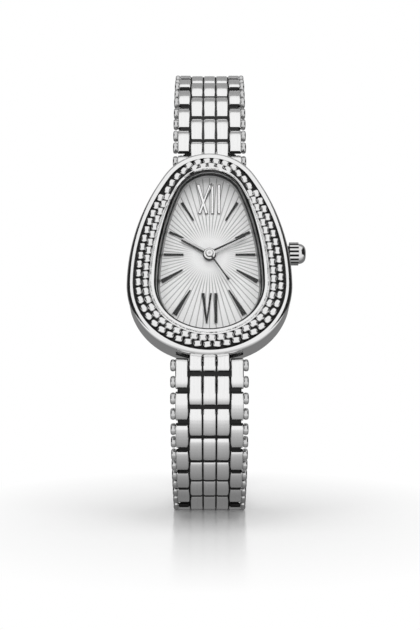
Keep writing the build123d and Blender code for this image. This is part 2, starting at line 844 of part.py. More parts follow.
with BuildPart() as minute_wheel:
    add(arbor(motion_place, arbor_radius, pivot_high, hour_mesh_level + wheel_thickness))
    wheel_turn = meeting_turn(minute_teeth[0], motion_angle + 180)
    add(gear(motion_place, minute_teeth[0], cannon_module, wheel_turn, minute_mesh_level))
    add(gear(motion_place, minute_teeth[1], hour_module, motion_angle + 180, hour_mesh_level))
minute_wheel.part.label = "minute_wheel"
export_step(minute_wheel.part, "parts/minute_wheel.step")

with BuildPart() as hour_wheel:
    wheel_turn = meeting_turn(hour_teeth, motion_angle)
    add(gear(centre, hour_teeth, hour_module, wheel_turn, hour_mesh_level))
    add(arbor(centre, hour_pipe_radius, hour_mesh_level, hour_hand_level + hand_thickness))
    add(arbor(centre, hour_pipe_bore, hour_mesh_level, cap_top), mode=Mode.SUBTRACT)
hour_wheel.part.label = "hour_wheel"
export_step(hour_wheel.part, "parts/hour_wheel.step")

# Main plate
with BuildPart() as main_plate:
    with BuildSketch(case_plane.offset(plate_level)):
        add(drop(movement_drop))
        Circle(cannon_radius + running_clearance, mode=Mode.SUBTRACT)
    extrude(amount=plate_thickness)
    with BuildSketch(case_plane.offset(plate_level)):
        with Locations(rotor_place, intermediate_place, third_place):
            Circle(pivot_radius + running_clearance)
    extrude(amount=plate_thickness / 2 + pin_seat_clearance, mode=Mode.SUBTRACT)
    with BuildSketch(case_plane.offset(plate_top)):
        with Locations(motion_place):
            Circle(arbor_radius + running_clearance)
    extrude(amount=-plate_thickness / 2 - pin_seat_clearance, mode=Mode.SUBTRACT)
main_plate.part.label = "main_plate"
export_step(main_plate.part, "parts/main_plate.step")

# Train bridge with its pillars, in squares of the train's grid
bridge_corner_shares = (
    (-5.2, 1.6), (-5.2, 3.2), (-3.9, 4.6), (-2.4, 4.6), (3.0, 3.0), (3.1, -2.5), (-3.6, -2.4),
)
pillar_place_shares = ((2.5, 2.35), (2.6, -2.0), (-4.7, 2.5))
pillar_radius = 0.35
bridge_corners = [(x * train_square, y * train_square) for x, y in bridge_corner_shares]
pillar_places = [(x * train_square, y * train_square) for x, y in pillar_place_shares]
with BuildPart() as train_bridge:
    with BuildSketch(case_plane.offset(bridge_level)):
        with BuildLine():
            Polyline(*bridge_corners, close=True)
        make_face()
        with Locations(centre, rotor_place, intermediate_place, third_place):
            Circle(pivot_radius + running_clearance, mode=Mode.SUBTRACT)
    extrude(amount=bridge_thickness)
    with BuildSketch(case_plane.offset(bridge_level)):
        with Locations(*pillar_places):
            Circle(pillar_radius)
    extrude(amount=plate_level - bridge_level)
train_bridge.part.label = "train_bridge"
export_step(train_bridge.part, "parts/train_bridge.step")

# Movement holder between the movement and the case, with a hole for the stem
with BuildPart() as movement_holder:
    with BuildSketch(case_plane.offset(holder_level)):
        add(drop(opening_drop, cavity_seat - seat_clearance))
        add(drop(movement_drop, pin_seat_clearance), mode=Mode.SUBTRACT)
    extrude(amount=dial_level - holder_level)
    with BuildSketch(crown_plane.offset(stem_inner)):
        Circle(stem_hole)
    extrude(amount=crown_end - stem_inner, mode=Mode.SUBTRACT)
movement_holder.part.label = "movement_holder"
export_step(movement_holder.part, "parts/movement_holder.step")

# Battery
battery_along = -6.3
battery_radius = 2.9
battery_gap = 0.15
battery_plate_gap = 0.05
battery_round = 0.2
battery_level = back_level + battery_gap
battery_height = plate_level - battery_plate_gap - battery_level
with BuildPart() as battery:
    with BuildSketch(case_plane.offset(battery_level)):
        with Locations((0, battery_along)):
            Circle(battery_radius)
    extrude(amount=battery_height)
    fillet(battery.edges().filter_by(GeomType.CIRCLE), battery_round)
battery.part.label = "battery"
export_step(battery.part, "parts/battery.step")

# Stator plate with the rotor hole and an arm to each end of the coil core: left, right, low
# and high side and the line of the coil, in squares of the train's grid
stator_side_shares = (-4.4, 3.3, 3.1, 4.7)
coil_line_share = 6.35
stator_thickness = 0.15
rotor_hole = 0.75
arm_width = 0.9
stator_left, stator_right, stator_low, stator_high = (
    share * train_square for share in stator_side_shares
)
stator_length = stator_right - stator_left
coil_along = coil_line_share * train_square
with BuildPart() as stator:
    with BuildSketch(case_plane.offset(stator_level)):
        with Locations(((stator_left + stator_right) / 2, (stator_low + stator_high) / 2)):
            Rectangle(stator_length, stator_high - stator_low)
        arm_high = coil_along + arm_width / 2
        for edge in (stator_left + arm_width / 2, stator_right - arm_width / 2):
            with Locations((edge, (stator_high + arm_high) / 2)):
                Rectangle(arm_width, arm_high - stator_high)
        with Locations(rotor_place):
            Circle(rotor_hole, mode=Mode.SUBTRACT)
    extrude(amount=stator_thickness)
stator.part.label = "stator"
export_step(stator.part, "parts/stator.step")

# Coil on its core
coil_radius = 0.6
coil_half_length = 2.5
core_width = 0.5
core_thickness = 0.16
with BuildPart() as coil:
    with BuildSketch(case_plane.offset(stator_level - core_thickness)):
        with Locations(((stator_left + stator_right) / 2, coil_along)):
            Rectangle(stator_length, core_width)
    extrude(amount=core_thickness)
    coil_plane = Plane(
        origin=case_point((stator_left + stator_right) / 2, coil_along,
                          stator_level - core_thickness / 2),
        x_dir=case_along, z_dir=(1, 0, 0),
    )
    with BuildSketch(coil_plane):
        Circle(coil_radius)
    extrude(amount=coil_half_length, both=True)
coil.part.label = "coil"
export_step(coil.part, "parts/coil.step")

# Circuit board with its chip
board_gap = 0.1
board_thickness = 0.3
board_across = 4.25
board_along = -3.2
board_width = 2.3
board_length = 5.2
chip_size = 1.4
chip_offset = 0.6
chip_height = 0.3
board_level = plate_level - board_gap - board_thickness
with BuildPart() as circuit_board:
    with BuildSketch(case_plane.offset(board_level)):
        with Locations((board_across, board_along)):
            Rectangle(board_width, board_length)
    extrude(amount=board_thickness)
    with BuildSketch(case_plane.offset(board_level)):
        with Locations((board_across, board_along + chip_offset)):
            Rectangle(chip_size, chip_size)
    extrude(amount=-chip_height)
circuit_board.part.label = "circuit_board"
export_step(circuit_board.part, "parts/circuit_board.step")

# Crown, fluted, with a domed end and a bore over the tube
with BuildPart() as crown:
    with BuildSketch(crown_plane.offset(crown_inner)):
        Circle(crown_radius)
        with PolarLocations(crown_radius, flute_count):
            Circle(flute_radius, mode=Mode.SUBTRACT)
    extrude(amount=crown_outer - crown_inner)
    with BuildSketch(crown_plane.offset(crown_outer)):
        Circle(crown_radius - crown_dome_step)
    extrude(amount=crown_end - crown_outer)
    dome = crown.edges().filter_by(GeomType.CIRCLE).sort_by(Axis.X)[-1]
    fillet(dome, crown_dome_round)
    with BuildSketch(crown_plane.offset(neck_inner)):
        Circle(neck_radius)
    extrude(amount=crown_inner - neck_inner)
    with BuildSketch(crown_plane.offset(neck_inner)):
        Circle(tube_radius + running_clearance)
    extrude(amount=tube_outer - neck_inner + running_clearance, mode=Mode.SUBTRACT)
    with BuildSketch(crown_plane.offset(neck_inner)):
        Circle(stem_radius + pin_seat_clearance)
    extrude(amount=crown_outer - neck_inner, mode=Mode.SUBTRACT)
crown.part.label = "crown"
export_step(crown.part, "parts/crown.step")

# Crown tube
with BuildPart() as crown_tube:
    with BuildSketch(crown_plane.offset(tube_inner)):
        Circle(tube_radius)
        Circle(tube_bore, mode=Mode.SUBTRACT)
    extrude(amount=tube_outer - tube_inner)
crown_tube.part.label = "crown_tube"
export_step(crown_tube.part, "parts/crown_tube.step")

# Stem with the groove that the setting lever holds
groove_inset = 0.6
groove_width = 0.3
groove_radius = 0.15
groove_start = stem_inner + groove_inset
with BuildPart() as crown_stem:
    with BuildSketch(crown_plane.offset(stem_inner)):
        Circle(stem_radius)
    extrude(amount=crown_outer - stem_inner - pin_seat_clearance)
    with BuildSketch(crown_plane.offset(groove_start)):
        Circle(stem_radius + cut_overrun)
        Circle(groove_radius, mode=Mode.SUBTRACT)
    extrude(amount=groove_width, mode=Mode.SUBTRACT)
crown_stem.part.label = "crown_stem"
export_step(crown_stem.part, "parts/crown_stem.step")

# Setting lever: a small plate whose tab sits in the groove of the stem
lever_drop = 0.6
lever_thickness = 0.2
lever_level = crown_level - lever_drop
lever_length = 1.5
lever_width = 1.4
tab_width = 0.24
with BuildPart() as setting_lever:
    with BuildSketch(case_plane.offset(lever_level)):
        with Locations((groove_start + groove_width / 2 + part_gap, crown_along)):
            Rectangle(lever_length, lever_width)
    extrude(amount=lever_thickness)
    with BuildSketch(case_plane.offset(lever_level)):
        with Locations((groove_start + groove_width / 2, crown_along)):
            Rectangle(tab_width, lever_width / 2)
    extrude(amount=crown_level - groove_radius - running_clearance - lever_level)
setting_lever.part.label = "setting_lever"
export_step(setting_lever.part, "parts/setting_lever.step")

# Clasp plane: x from the last lower hinge to the last upper hinge, y outward
clasp_start = side_point(lower_line[-1])
clasp_end = side_point(upper_line[-1])
clasp_span = (clasp_end - clasp_start).length
clasp_plane = Plane(
    origin=clasp_start, x_dir=(clasp_end - clasp_start).normalized(), z_dir=(-1, 0, 0)
)
leaf_hinge = (clasp_span - leaf_hinge_back, leaf_hinge_out)
hook_pin = (clasp_span - leaf_hinge_back - leaf_length, hook_pin_out)


def box_face(left, low, right, high):
    """Rectangle between two corners, for the sketch that is open"""
    with BuildSketch(mode=Mode.PRIVATE) as face:
        with Locations(((left + right) / 2, (low + high) / 2)):
            Rectangle(right - left, high - low)
    return face.sketch


def pin_at(place, half_length, with_heads):
    """A cross pin of the clasp at a place of its side view"""
    point = clasp_plane.from_local_coords((place[0], place[1], 0))
    seat = Plane(origin=point, x_dir=(1, 0, 0), z_dir=clasp_plane.y_dir)
    with BuildPart(mode=Mode.PRIVATE) as placed:
        with Locations(seat.location):
            add(pin_with_heads(half_length, with_heads))
    return placed.part


# Clasp cover: outer plate, side walls, hinge lugs and two pins
wall_end = clasp_span - bar_radius - part_gap - pin_seat_clearance
with BuildPart() as cover_body:
    with BuildSketch(clasp_plane):
        add(box_face(-bar_radius, cover_plate_inner, clasp_span - 2 * bar_radius + part_gap,
                     cover_plate_outer))
    extrude(amount=half_band, both=True)
    fillet(cover_body.edges().filter_by(Axis.X).sort_by(Axis.Y)[-2:], cover_round)
    for side in (1, -1):
        with BuildSketch(clasp_plane.offset(side * cover_wall_inner)):
            add(box_face(0, -cover_wall_depth, wall_end, cover_plate_inner))
        extrude(amount=side * cover_wall)
        with BuildSketch(clasp_plane.offset(side * lug_inner)):
            add(box_face(-bar_radius, 0, bar_radius, cover_plate_inner))
            Circle(bar_radius)
        extrude(amount=side * bar_width)
    with BuildSketch(clasp_plane):
        Circle(pin_radius + pin_seat_clearance)
        with Locations(leaf_hinge):
            Circle(pin_radius + pin_seat_clearance)
    extrude(amount=half_band + cut_overrun, both=True, mode=Mode.SUBTRACT)
    with BuildSketch(clasp_plane):
        with Locations((button_along, button_out)):
            Circle(button_radius + running_clearance)
    extrude(amount=half_band + cut_overrun, both=True, mode=Mode.SUBTRACT)

with BuildPart() as clasp_cover:
    add(cover_body.part)
    add(pin_at((0, 0), half_band, True))
    add(pin_at(leaf_hinge, half_band, False))
clasp_cover.part.label = "clasp_cover"
export_step(clasp_cover.part, "parts/clasp_cover.step")

# Middle leaf: barrel, plate and a hook open to the wrist side
leaf_half = cover_wall_inner - leaf_side_gap
hook_half = ear_inner - part_gap
with BuildPart() as clasp_middle_leaf:
    with BuildSketch(clasp_plane):
        with Locations(leaf_hinge):
            Circle(leaf_barrel_radius)
        add(box_face(hook_pin[0] + leaf_barrel_radius, leaf_low, leaf_hinge[0],
                     leaf_low + leaf_thickness))
    extrude(amount=leaf_half, both=True)
    with BuildSketch(clasp_plane):
        add(box_face(hook_pin[0] - 2 * pin_radius, hook_pin_out,
                     hook_pin[0] + 2 * pin_radius, leaf_low + leaf_thickness))
    extrude(amount=hook_half, both=True)
    with BuildSketch(clasp_plane):
        with Locations(leaf_hinge):
            Circle(pin_radius + running_clearance)
        with Locations(hook_pin):
            Circle(pin_radius + running_clearance)
    extrude(amount=half_band, both=True, mode=Mode.SUBTRACT)
clasp_middle_leaf.part.label = "clasp_middle_leaf"
export_step(clasp_middle_leaf.part, "parts/clasp_middle_leaf.step")

# End leaf: hinge lugs, plate towards the wrist and two ears with the hook pin
leaf_start = hook_pin[0] - 2 * pin_radius
ear_half = 2 * pin_radius - ear_round_gap
with BuildPart() as end_leaf_body:
    with BuildSketch(clasp_plane):
        add(box_face(leaf_start, end_leaf_inner, clasp_span - bar_radius - part_gap,
                     end_leaf_outer))
    extrude(amount=half_band, both=True)
    for side in (1, -1):
        with BuildSketch(clasp_plane.offset(side * lug_inner)):
            with Locations((clasp_span, 0)):
                Circle(bar_radius)
            add(box_face(clasp_span - bar_radius, end_leaf_inner, clasp_span + bar_radius, 0))
            add(box_face(clasp_span - 2 * bar_radius, end_leaf_inner, clasp_span,
                         end_leaf_outer))
        extrude(amount=side * bar_width)
        with BuildSketch(clasp_plane.offset(side * ear_inner)):
            with Locations(hook_pin):
                Circle(ear_half)
            add(box_face(hook_pin[0] - ear_half, end_leaf_outer, hook_pin[0] + ear_half,
                         hook_pin_out))
        extrude(amount=side * (cover_wall_inner - ear_inner - ear_side_gap))
    with BuildSketch(clasp_plane):
        with Locations((clasp_span, 0)):
            Circle(pin_radius + pin_seat_clearance)
        with Locations(hook_pin):
            Circle(pin_radius + pin_seat_clearance)
    extrude(amount=half_band + cut_overrun, both=True, mode=Mode.SUBTRACT)

with BuildPart() as clasp_end_leaf:
    add(end_leaf_body.part)
    add(pin_at((clasp_span, 0), half_band, True))
    add(pin_at(hook_pin, cover_wall_inner - ear_side_gap, False))
clasp_end_leaf.part.label = "clasp_end_leaf"
export_step(clasp_end_leaf.part, "parts/clasp_end_leaf.step")

# Push buttons, each held by a flange inside its wall
for side, name in ((1, "clasp_button_left"), (-1, "clasp_button_right")):
    flange_outer = cover_wall_inner - pin_seat_clearance
    with BuildPart() as button:
        with BuildSketch(clasp_plane.offset(side * flange_outer)):
            with Locations((button_along, button_out)):
                Circle(button_flange_radius)
        extrude(amount=-side * button_flange)
        with BuildSketch(clasp_plane.offset(side * flange_outer)):
            with Locations((button_along, button_out)):
                Circle(button_radius)
        extrude(amount=side * (button_reach - flange_outer))
        tip = button.edges().filter_by(GeomType.CIRCLE).sort_by(Axis.X)
        fillet(tip[0] if side > 0 else tip[-1], button_round)
    button.part.label = name
    export_step(button.part, f"parts/{name}.step")
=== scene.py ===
# %% [markdown]
# # Drop-shaped bracelet watch
# A ladies' quartz watch stands on its closed bar bracelet and looks at us with its dial leaning
# back. Its parts come from the CAD model, and each of them gets its finish here. The parts that
# carry the looks, such as bars, studs, markers and hands, are modelled again with more form.

# %% Load the frame
import json
import math

import bpy
from mathutils import Matrix, Vector

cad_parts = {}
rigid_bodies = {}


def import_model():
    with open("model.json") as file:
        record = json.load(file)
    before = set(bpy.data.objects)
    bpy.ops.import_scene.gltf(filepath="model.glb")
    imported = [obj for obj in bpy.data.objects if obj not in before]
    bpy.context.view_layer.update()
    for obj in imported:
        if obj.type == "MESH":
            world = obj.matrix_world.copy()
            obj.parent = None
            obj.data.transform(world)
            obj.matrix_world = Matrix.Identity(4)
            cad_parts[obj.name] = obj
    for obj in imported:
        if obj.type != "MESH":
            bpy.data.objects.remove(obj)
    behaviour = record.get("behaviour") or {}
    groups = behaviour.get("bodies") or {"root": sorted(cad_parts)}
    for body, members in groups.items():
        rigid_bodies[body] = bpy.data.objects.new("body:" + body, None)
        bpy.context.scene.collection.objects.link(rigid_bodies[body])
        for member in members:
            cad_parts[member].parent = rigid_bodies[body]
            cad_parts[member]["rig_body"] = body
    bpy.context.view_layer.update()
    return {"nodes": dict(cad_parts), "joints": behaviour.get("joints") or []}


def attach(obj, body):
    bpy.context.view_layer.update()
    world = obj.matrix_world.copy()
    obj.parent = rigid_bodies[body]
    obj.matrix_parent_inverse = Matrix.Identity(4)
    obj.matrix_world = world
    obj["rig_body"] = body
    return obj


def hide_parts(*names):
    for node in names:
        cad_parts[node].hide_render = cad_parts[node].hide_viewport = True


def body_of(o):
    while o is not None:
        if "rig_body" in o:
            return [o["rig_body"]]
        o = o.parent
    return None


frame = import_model()
nodes = frame["nodes"]
MM = 0.001
print("frame loaded:", len(nodes), "nodes")

# %% [markdown]
# The case leans back, so everything on the dial is measured along the dial: across it, up it
# and out through the crystal. The joint of the second hand lies on the axis of the hands, one
# millimetre behind the face of the dial. It gives both the place and the direction, so neither
# has to be typed again.

# %% Directions of the dial
joint_to_face = 1.0
joints = {joint["name"]: joint for joint in frame["joints"]}
out_way = Vector(joints["second_hand_turn"]["axis"]).normalized()
up_way = Vector((0, out_way.z, -out_way.y)).normalized()
hub = Vector(joints["second_hand_turn"]["pos_m"]) + out_way * joint_to_face * MM
lean = math.atan2(out_way.z, -out_way.y)
dial_turn = Matrix((Vector((1, 0, 0)), up_way, out_way)).transposed().to_4x4()
dial_frame = Matrix.Translation(hub) @ dial_turn


def dial_level(point):
    """Millimetres out from the face of the dial"""
    return (point - hub).dot(out_way) / MM


print("dial leans back", round(math.degrees(lean), 2), "degrees, hub at", tuple(hub))

# %% [markdown]
# The photo was taken level, from in front and a little below the hands. A camera this close
# makes the near bars at the bottom larger than the far ones at the top. The distance sets how
# strong that is, and the lens then fills the picture as the photo does.

# %% Camera
lens, camera_across, camera_before, camera_below = 91.4, 0.07, 157, 8.84
camera_data = bpy.data.cameras.new("camera")
camera_data.sensor_fit = "HORIZONTAL"
camera_data.sensor_width = 36
camera_data.lens = lens
camera_data.clip_start = 0.001
camera = bpy.data.objects.new("camera", camera_data)
bpy.context.scene.collection.objects.link(camera)
camera.location = (camera_across * MM, hub.y - camera_before * MM, hub.z - camera_below * MM)
camera.rotation_euler = (math.radians(90), 0, 0)
bpy.context.scene.camera = camera
print("camera at", tuple(round(value, 4) for value in camera.location))

# %% [markdown]
# Every finish is made from nodes. The sums between them are easier to read as sums, so a small
# class stands for one value in a shader and knows plus, minus, times and divided by. Any other
# node comes from one method of the tree that it belongs to.


# %% Values and nodes
class Value:
    """One output of a node, used in sums like a number"""

    def __init__(self, wiring, socket):
        self.wiring = wiring
        self.socket = socket

    def __add__(self, other):
        return self.wiring.maths("ADD", self, other)

    __radd__ = __add__

    def __sub__(self, other):
        return self.wiring.maths("SUBTRACT", self, other)

    def __rsub__(self, other):
        return self.wiring.maths("SUBTRACT", other, self)

    def __mul__(self, other):
        return self.wiring.maths("MULTIPLY", self, other)

    __rmul__ = __mul__

    def __truediv__(self, other):
        return self.wiring.maths("DIVIDE", self, other)

    def __rtruediv__(self, other):
        return self.wiring.maths("DIVIDE", other, self)


class Wiring:
    """The nodes of a material or of the world"""

    def __init__(self, tree):
        self.tree = tree

    def node(self, kind, settings, values, output=0):
        """A new node: its settings, then its sockets; gives one of its outputs"""
        made = self.tree.nodes.new(kind)
        for key, value in settings.items():
            setattr(made, key, value)
        for key, value in values.items():
            if isinstance(value, Value):
                self.tree.links.new(value.socket, made.inputs[key])
            else:
                made.inputs[key].default_value = value
        return Value(self, made.outputs[output])

    def maths(self, operation, *values):
        return self.node("ShaderNodeMath", {"operation": operation}, dict(enumerate(values)))

    def ray(self, kind):
        """1 for rays of a kind, such as Is Camera Ray, and 0 for all others"""
        return self.node("ShaderNodeLightPath", {}, {}, kind)


print("values and nodes ready")

# %% [markdown]
# A finish is a material with one Principled shader. What stays the same all over is set on the
# shader itself, and only what changes over the surface is fed by nodes. Patterns are placed in
# millimetres, so their sizes can be compared with the real metal.


# %% Finishes
def grey(level):
    return (level, level, level)


class Finish(Wiring):
    """A material under a plain name, with a Principled shader to feed"""

    def __init__(self, name, colour, metallic, roughness):
        self.material = bpy.data.materials.new(name)
        self.material.use_nodes = True
        super().__init__(self.material.node_tree)
        self.shader = self.tree.nodes["Principled BSDF"]
        self.shader.inputs["Base Color"].default_value = (*colour, 1)
        self.shader.inputs["Metallic"].default_value = metallic
        self.shader.inputs["Roughness"].default_value = roughness
        self.material.diffuse_color = (*colour, 1)

    def place(self, scale=(1, 1, 1)):
        """Object coordinates in millimetres, stretched by a scale"""
        point = self.node("ShaderNodeTexCoord", {}, {}, "Object")
        stretch = tuple(value / MM for value in scale)
        return self.node("ShaderNodeMapping", {}, {"Vector": point, "Scale": stretch})

    def dial_place(self):
        """Millimetres across, up and out from the centre of the dial"""
        point = self.node("ShaderNodeTexCoord", {}, {}, "Object")
        turn = (lean - math.pi / 2, 0, 0)
        moved = (0, -hub.dot(up_way) / MM, -hub.dot(out_way) / MM)
        values = {"Vector": point, "Rotation": turn, "Location": moved, "Scale": (1 / MM,) * 3}
        return self.node("ShaderNodeMapping", {}, values)

    def noise(self, point, scale, detail=2.0):
        values = {"Vector": point, "Scale": scale, "Detail": detail}
        return self.node("ShaderNodeTexNoise", {}, values)

    def apart(self, point, axis):
        """One of the three numbers of a point"""
        return self.node("ShaderNodeSeparateXYZ", {}, {"Vector": point}, axis)

    def ramp(self, value, start, end):
        """Climbs from 0 where a value is at the start to 1 where it is at the end"""
        values = {"Value": value, "From Min": start, "From Max": end}
        return self.node("ShaderNodeMapRange", {}, values)

    def colour_between(self, share, first, second):
        values = {0: share, 6: (*first, 1), 7: (*second, 1)}
        return self.node("ShaderNodeMix", {"data_type": "RGBA"}, values, 2)

    def feed(self, name, value):
        self.tree.links.new(value.socket, self.shader.inputs[name])

    def rough(self, scale, least, spread):
        """Let the roughness wander up from its least value"""
        self.feed("Roughness", self.noise(self.place(), scale) * spread + least)

    def bump(self, height, distance, strength=1.0):
        values = {"Height": height, "Distance": distance * MM, "Strength": strength}
        self.feed("Normal", self.node("ShaderNodeBump", {}, values))


print("finishes ready to mix")

# %% [markdown]
# Polished steel is bright and almost a mirror. Real polishing leaves a faint haze and very fine
# waves, so the roughness wanders a little and a shallow bump breaks up straight reflections.

# %% Polished steel
haze_scale, wave_scale, wave_height = 0.9, 2.5, 0.0006
clear_share, haze_share = 0.7, 0.6


def polished(name, colour, roughness):
    """Metal almost like a mirror, with a haze that wanders about its roughness"""
    finish = Finish(name, colour, 1.0, roughness)
    haze = finish.noise(finish.place(), haze_scale)
    finish.feed("Roughness", roughness * clear_share + haze * (roughness * haze_share))
    finish.bump(finish.noise(finish.place(), wave_scale), wave_height)
    return finish.material


case_polish = polished("polished case steel", grey(0.84), 0.12)
stud_polish = polished("polished stud steel", grey(0.80), 0.12)
bar_polish = polished("polished bar steel", grey(0.84), 0.14)
pin_polish = polished("polished pin steel", grey(0.62), 0.12)
crown_polish = polished("polished crown steel", grey(0.74), 0.08)
print("polished steels ready")

# %% [markdown]
# The bars and the clasp are brushed along the bracelet. The bracelet bends only up and back,
# never sideways, so lines that change across it and stay nearly the same along it follow every
# row by themselves. Coarse and fine lines together look more real than one size alone.

# %% Brushed steel
coarse_lines, fine_lines, brush_depth, brush_spread = 4.0, 16.0, 0.003, 0.16
coarse_stretch, fine_stretch = (1, 0.03, 0.03), (1, 0.06, 0.06)
coarse_share, fine_share = 0.6, 0.4
dark_share, light_share = 0.88, 1.08


def brushed(name, colour, roughness):
    """Metal with fine lines along the bracelet, some darker and some lighter"""
    finish = Finish(name, colour, 1.0, roughness)
    coarse = finish.noise(finish.place(coarse_stretch), coarse_lines, 3.0)
    fine = finish.noise(finish.place(fine_stretch), fine_lines, 2.0)
    streak = coarse * coarse_share + fine * fine_share
    finish.feed("Roughness", streak * brush_spread + (roughness - brush_spread / 2))
    dark = tuple(value * dark_share for value in colour)
    light = tuple(value * light_share for value in colour)
    finish.feed("Base Color", finish.colour_between(streak, dark, light))
    finish.bump(streak, brush_depth)
    return finish.material


bar_brush = brushed("brushed bar steel", grey(0.90), 0.19)
clasp_brush = brushed("brushed clasp steel", (0.74, 0.74, 0.75), 0.34)
back_brush = brushed("brushed case back steel", (0.72, 0.72, 0.73), 0.30)
print("brushed steels ready")

# %% [markdown]
# Between the studs and in the channel round them the metal lies in the dark. These faces get a
# nearly black material, which is painted shade: it is surer than shadow alone, because soft
# studio light reaches into every gap.

# %% Painted shade for recesses
recess = Finish("painted recess shade", grey(0.014), 0.5, 0.45)
recess.rough(scale=6.0, least=0.35, spread=0.2)
painted_shade_dark = recess.material
print("painted recess shade ready")

# %% [markdown]
# The dial is silvered and cut with rays that start a little way out from the hands. Each ray is
# a narrow groove: a bump gives it a light edge, and a thin dark line of painted shade in the
# colour stands for the shade inside it. The angle round the hub says which ray is nearest and
# the distance from it, in millimetres, gives the groove its width. So fine a cut is better drawn
# by a shader than modelled.

# %% Silvered dial with rays
ray_count, ray_width, rays_start, rays_full = 72, 0.12, 2.4, 4.6
groove_shade_share, grain_share, dial_grain = 0.95, 0.05, 9.0
groove_depth, groove_strength = 0.05, 0.6
dial_finish = Finish("silvered ray dial", grey(0.80), 0.35, 0.32)
spot = dial_finish.dial_place()
across = dial_finish.apart(spot, 0)
upward = dial_finish.apart(spot, 1)
reach = dial_finish.maths("SQRT", across * across + upward * upward)
angle = dial_finish.maths("ARCTAN2", across, upward)
turns = angle * (ray_count / (2 * math.pi)) + ray_count + 0.5
nearest = dial_finish.maths("ABSOLUTE", dial_finish.maths("FRACT", turns) - 0.5)
away = nearest * reach * (2 * math.pi / ray_count)
groove = dial_finish.maths("MAXIMUM", 1 - away / ray_width, 0)
groove = groove * dial_finish.ramp(reach, rays_start, rays_full)
silver_grain = dial_finish.noise(dial_finish.place(), dial_grain)
# Painted shade: the grooves darken the colour, mixed with the real grain of the silvering.
groove_shade_and_grain = groove * groove_shade_share + silver_grain * grain_share
dial_finish.feed("Base Color", dial_finish.colour_between(groove_shade_and_grain, grey(0.88), grey(0.32)))
dial_finish.bump(0 - groove, groove_depth, groove_strength)
dial_silver = dial_finish.material
print("dial cut with", ray_count, "rays")

# %% [markdown]
# The markers and the hands are shiny metal, with their light and shade painted in lit and
# shaded copies of it. The markers are painted dark as shade, apart from the twelve, which is
# painted with a bright reflection. Each hand has a side painted in shade and a side painted in
# light.

# %% Markers and hands
# Lit and shaded copies of the marker metal: painted shade and a painted bright reflection.
marker_painted_shade = polished("marker metal with painted shade", grey(0.02), 0.30)
marker_painted_highlight = polished("marker metal with painted highlight", grey(0.90), 0.20)
# Lit and shaded copies of the hand metal: painted shade, painted light and a painted highlight
# on hubs.
hand_painted_shade = polished("hand metal with painted shade", grey(0.03), 0.25)
hand_painted_light = polished("hand metal with painted light", grey(0.55), 0.2)
hub_painted_highlight = polished("hub metal with painted highlight", grey(0.80), 0.16)
print("markers and hands ready")

# %% [markdown]
# The flange is the wall between the dial and the crystal. Its colour follows the height over
# the dial: a grey foot, a black band of painted shade under the bezel, and a thin light line at
# the top.

# %% Flange
foot_top, band_start, band_end, line_start = 0.34, 0.42, 0.80, 0.84
flange = Finish("satin flange", grey(0.10), 0.9, 0.35)
flange.rough(scale=4.0, least=0.25, spread=0.2)
flange_height = flange.apart(flange.dial_place(), 2)
foot = flange.ramp(flange_height, band_start, foot_top)
line = flange.ramp(flange_height, band_end, line_start)
# The black band is painted shade on the flange under the bezel.
flange_tone_and_shade = flange.colour_between(flange.maths("MAXIMUM", foot, line), grey(0.03), grey(0.62))
flange.feed("Base Color", flange_tone_and_shade)
flange_satin = flange.material
print("flange ready")

# %% [markdown]
# The crystal is flat glass. In the photo it hides itself, so it is nearly clear and only adds a
# faint sheen.

# %% Crystal
crystal = Finish("clear crystal", (0.95, 0.97, 0.98), 0.0, 0.03)
crystal.rough(scale=0.5, least=0.02, spread=0.02)
crystal.shader.inputs["Alpha"].default_value = 0.02
crystal_glass = crystal.material
print("crystal ready")

# %% [markdown]
# Inside the case are brass wheels and plates, a plastic holder, a board, a coil and a cell.
# They show only when the back is off, but each still gets the finish of its real material.

# %% Movement finishes
grain_scale, grain_detail, grain_depth, grain_spread = 5.0, 3.0, 0.006, 0.12
rough_spread, rough_drop = 0.15, 0.07


def plain(name, colour, metallic, roughness):
    """A material with fine spots, a little darker and a little lighter than its colour"""
    finish = Finish(name, colour, metallic, roughness)
    spots = finish.noise(finish.place(), grain_scale, grain_detail)
    dark = tuple(value * (1 - grain_spread) for value in colour)
    light = tuple(value * (1 + grain_spread) for value in colour)
    finish.feed("Base Color", finish.colour_between(spots, dark, light))
    finish.feed("Roughness", spots * rough_spread + (roughness - rough_drop))
    finish.bump(spots, grain_depth)
    return finish.material


wheel_brass = plain("wheel brass", (0.80, 0.62, 0.30), 1.0, 0.28)
plate_brass = plain("plate brass", (0.72, 0.57, 0.32), 1.0, 0.38)
holder_plastic = plain("holder plastic", (0.80, 0.80, 0.76), 0.0, 0.5)
board_green = plain("circuit board", (0.05, 0.22, 0.10), 0.0, 0.45)
cell_steel = plain("cell steel", (0.70, 0.70, 0.70), 1.0, 0.3)
winding = plain("copper winding", (0.62, 0.26, 0.10), 0.7, 0.35)
magnet_steel = plain("magnet steel", (0.35, 0.35, 0.37), 1.0, 0.35)
inner_steel = plain("turned steel", (0.62, 0.62, 0.63), 1.0, 0.25)
print("movement finishes ready")


# %% [markdown]
# Now the CAD parts take their finishes. A part keeps its mesh, and only its material slots are
# filled. Most parts have one finish all over.


# %% Parts with one finish
def paint(name, *materials, choose=None):
    """Fill the slots of a part; choose takes a face's middle and normal and gives a slot"""
    mesh = nodes[name].data
    mesh.materials.clear()
    for material in materials:
        mesh.materials.append(material)
    counts = [0] * len(materials)
    for face in mesh.polygons:
        face.material_index = choose(face.center, face.normal) if choose else 0
        counts[face.material_index] += 1
    return counts


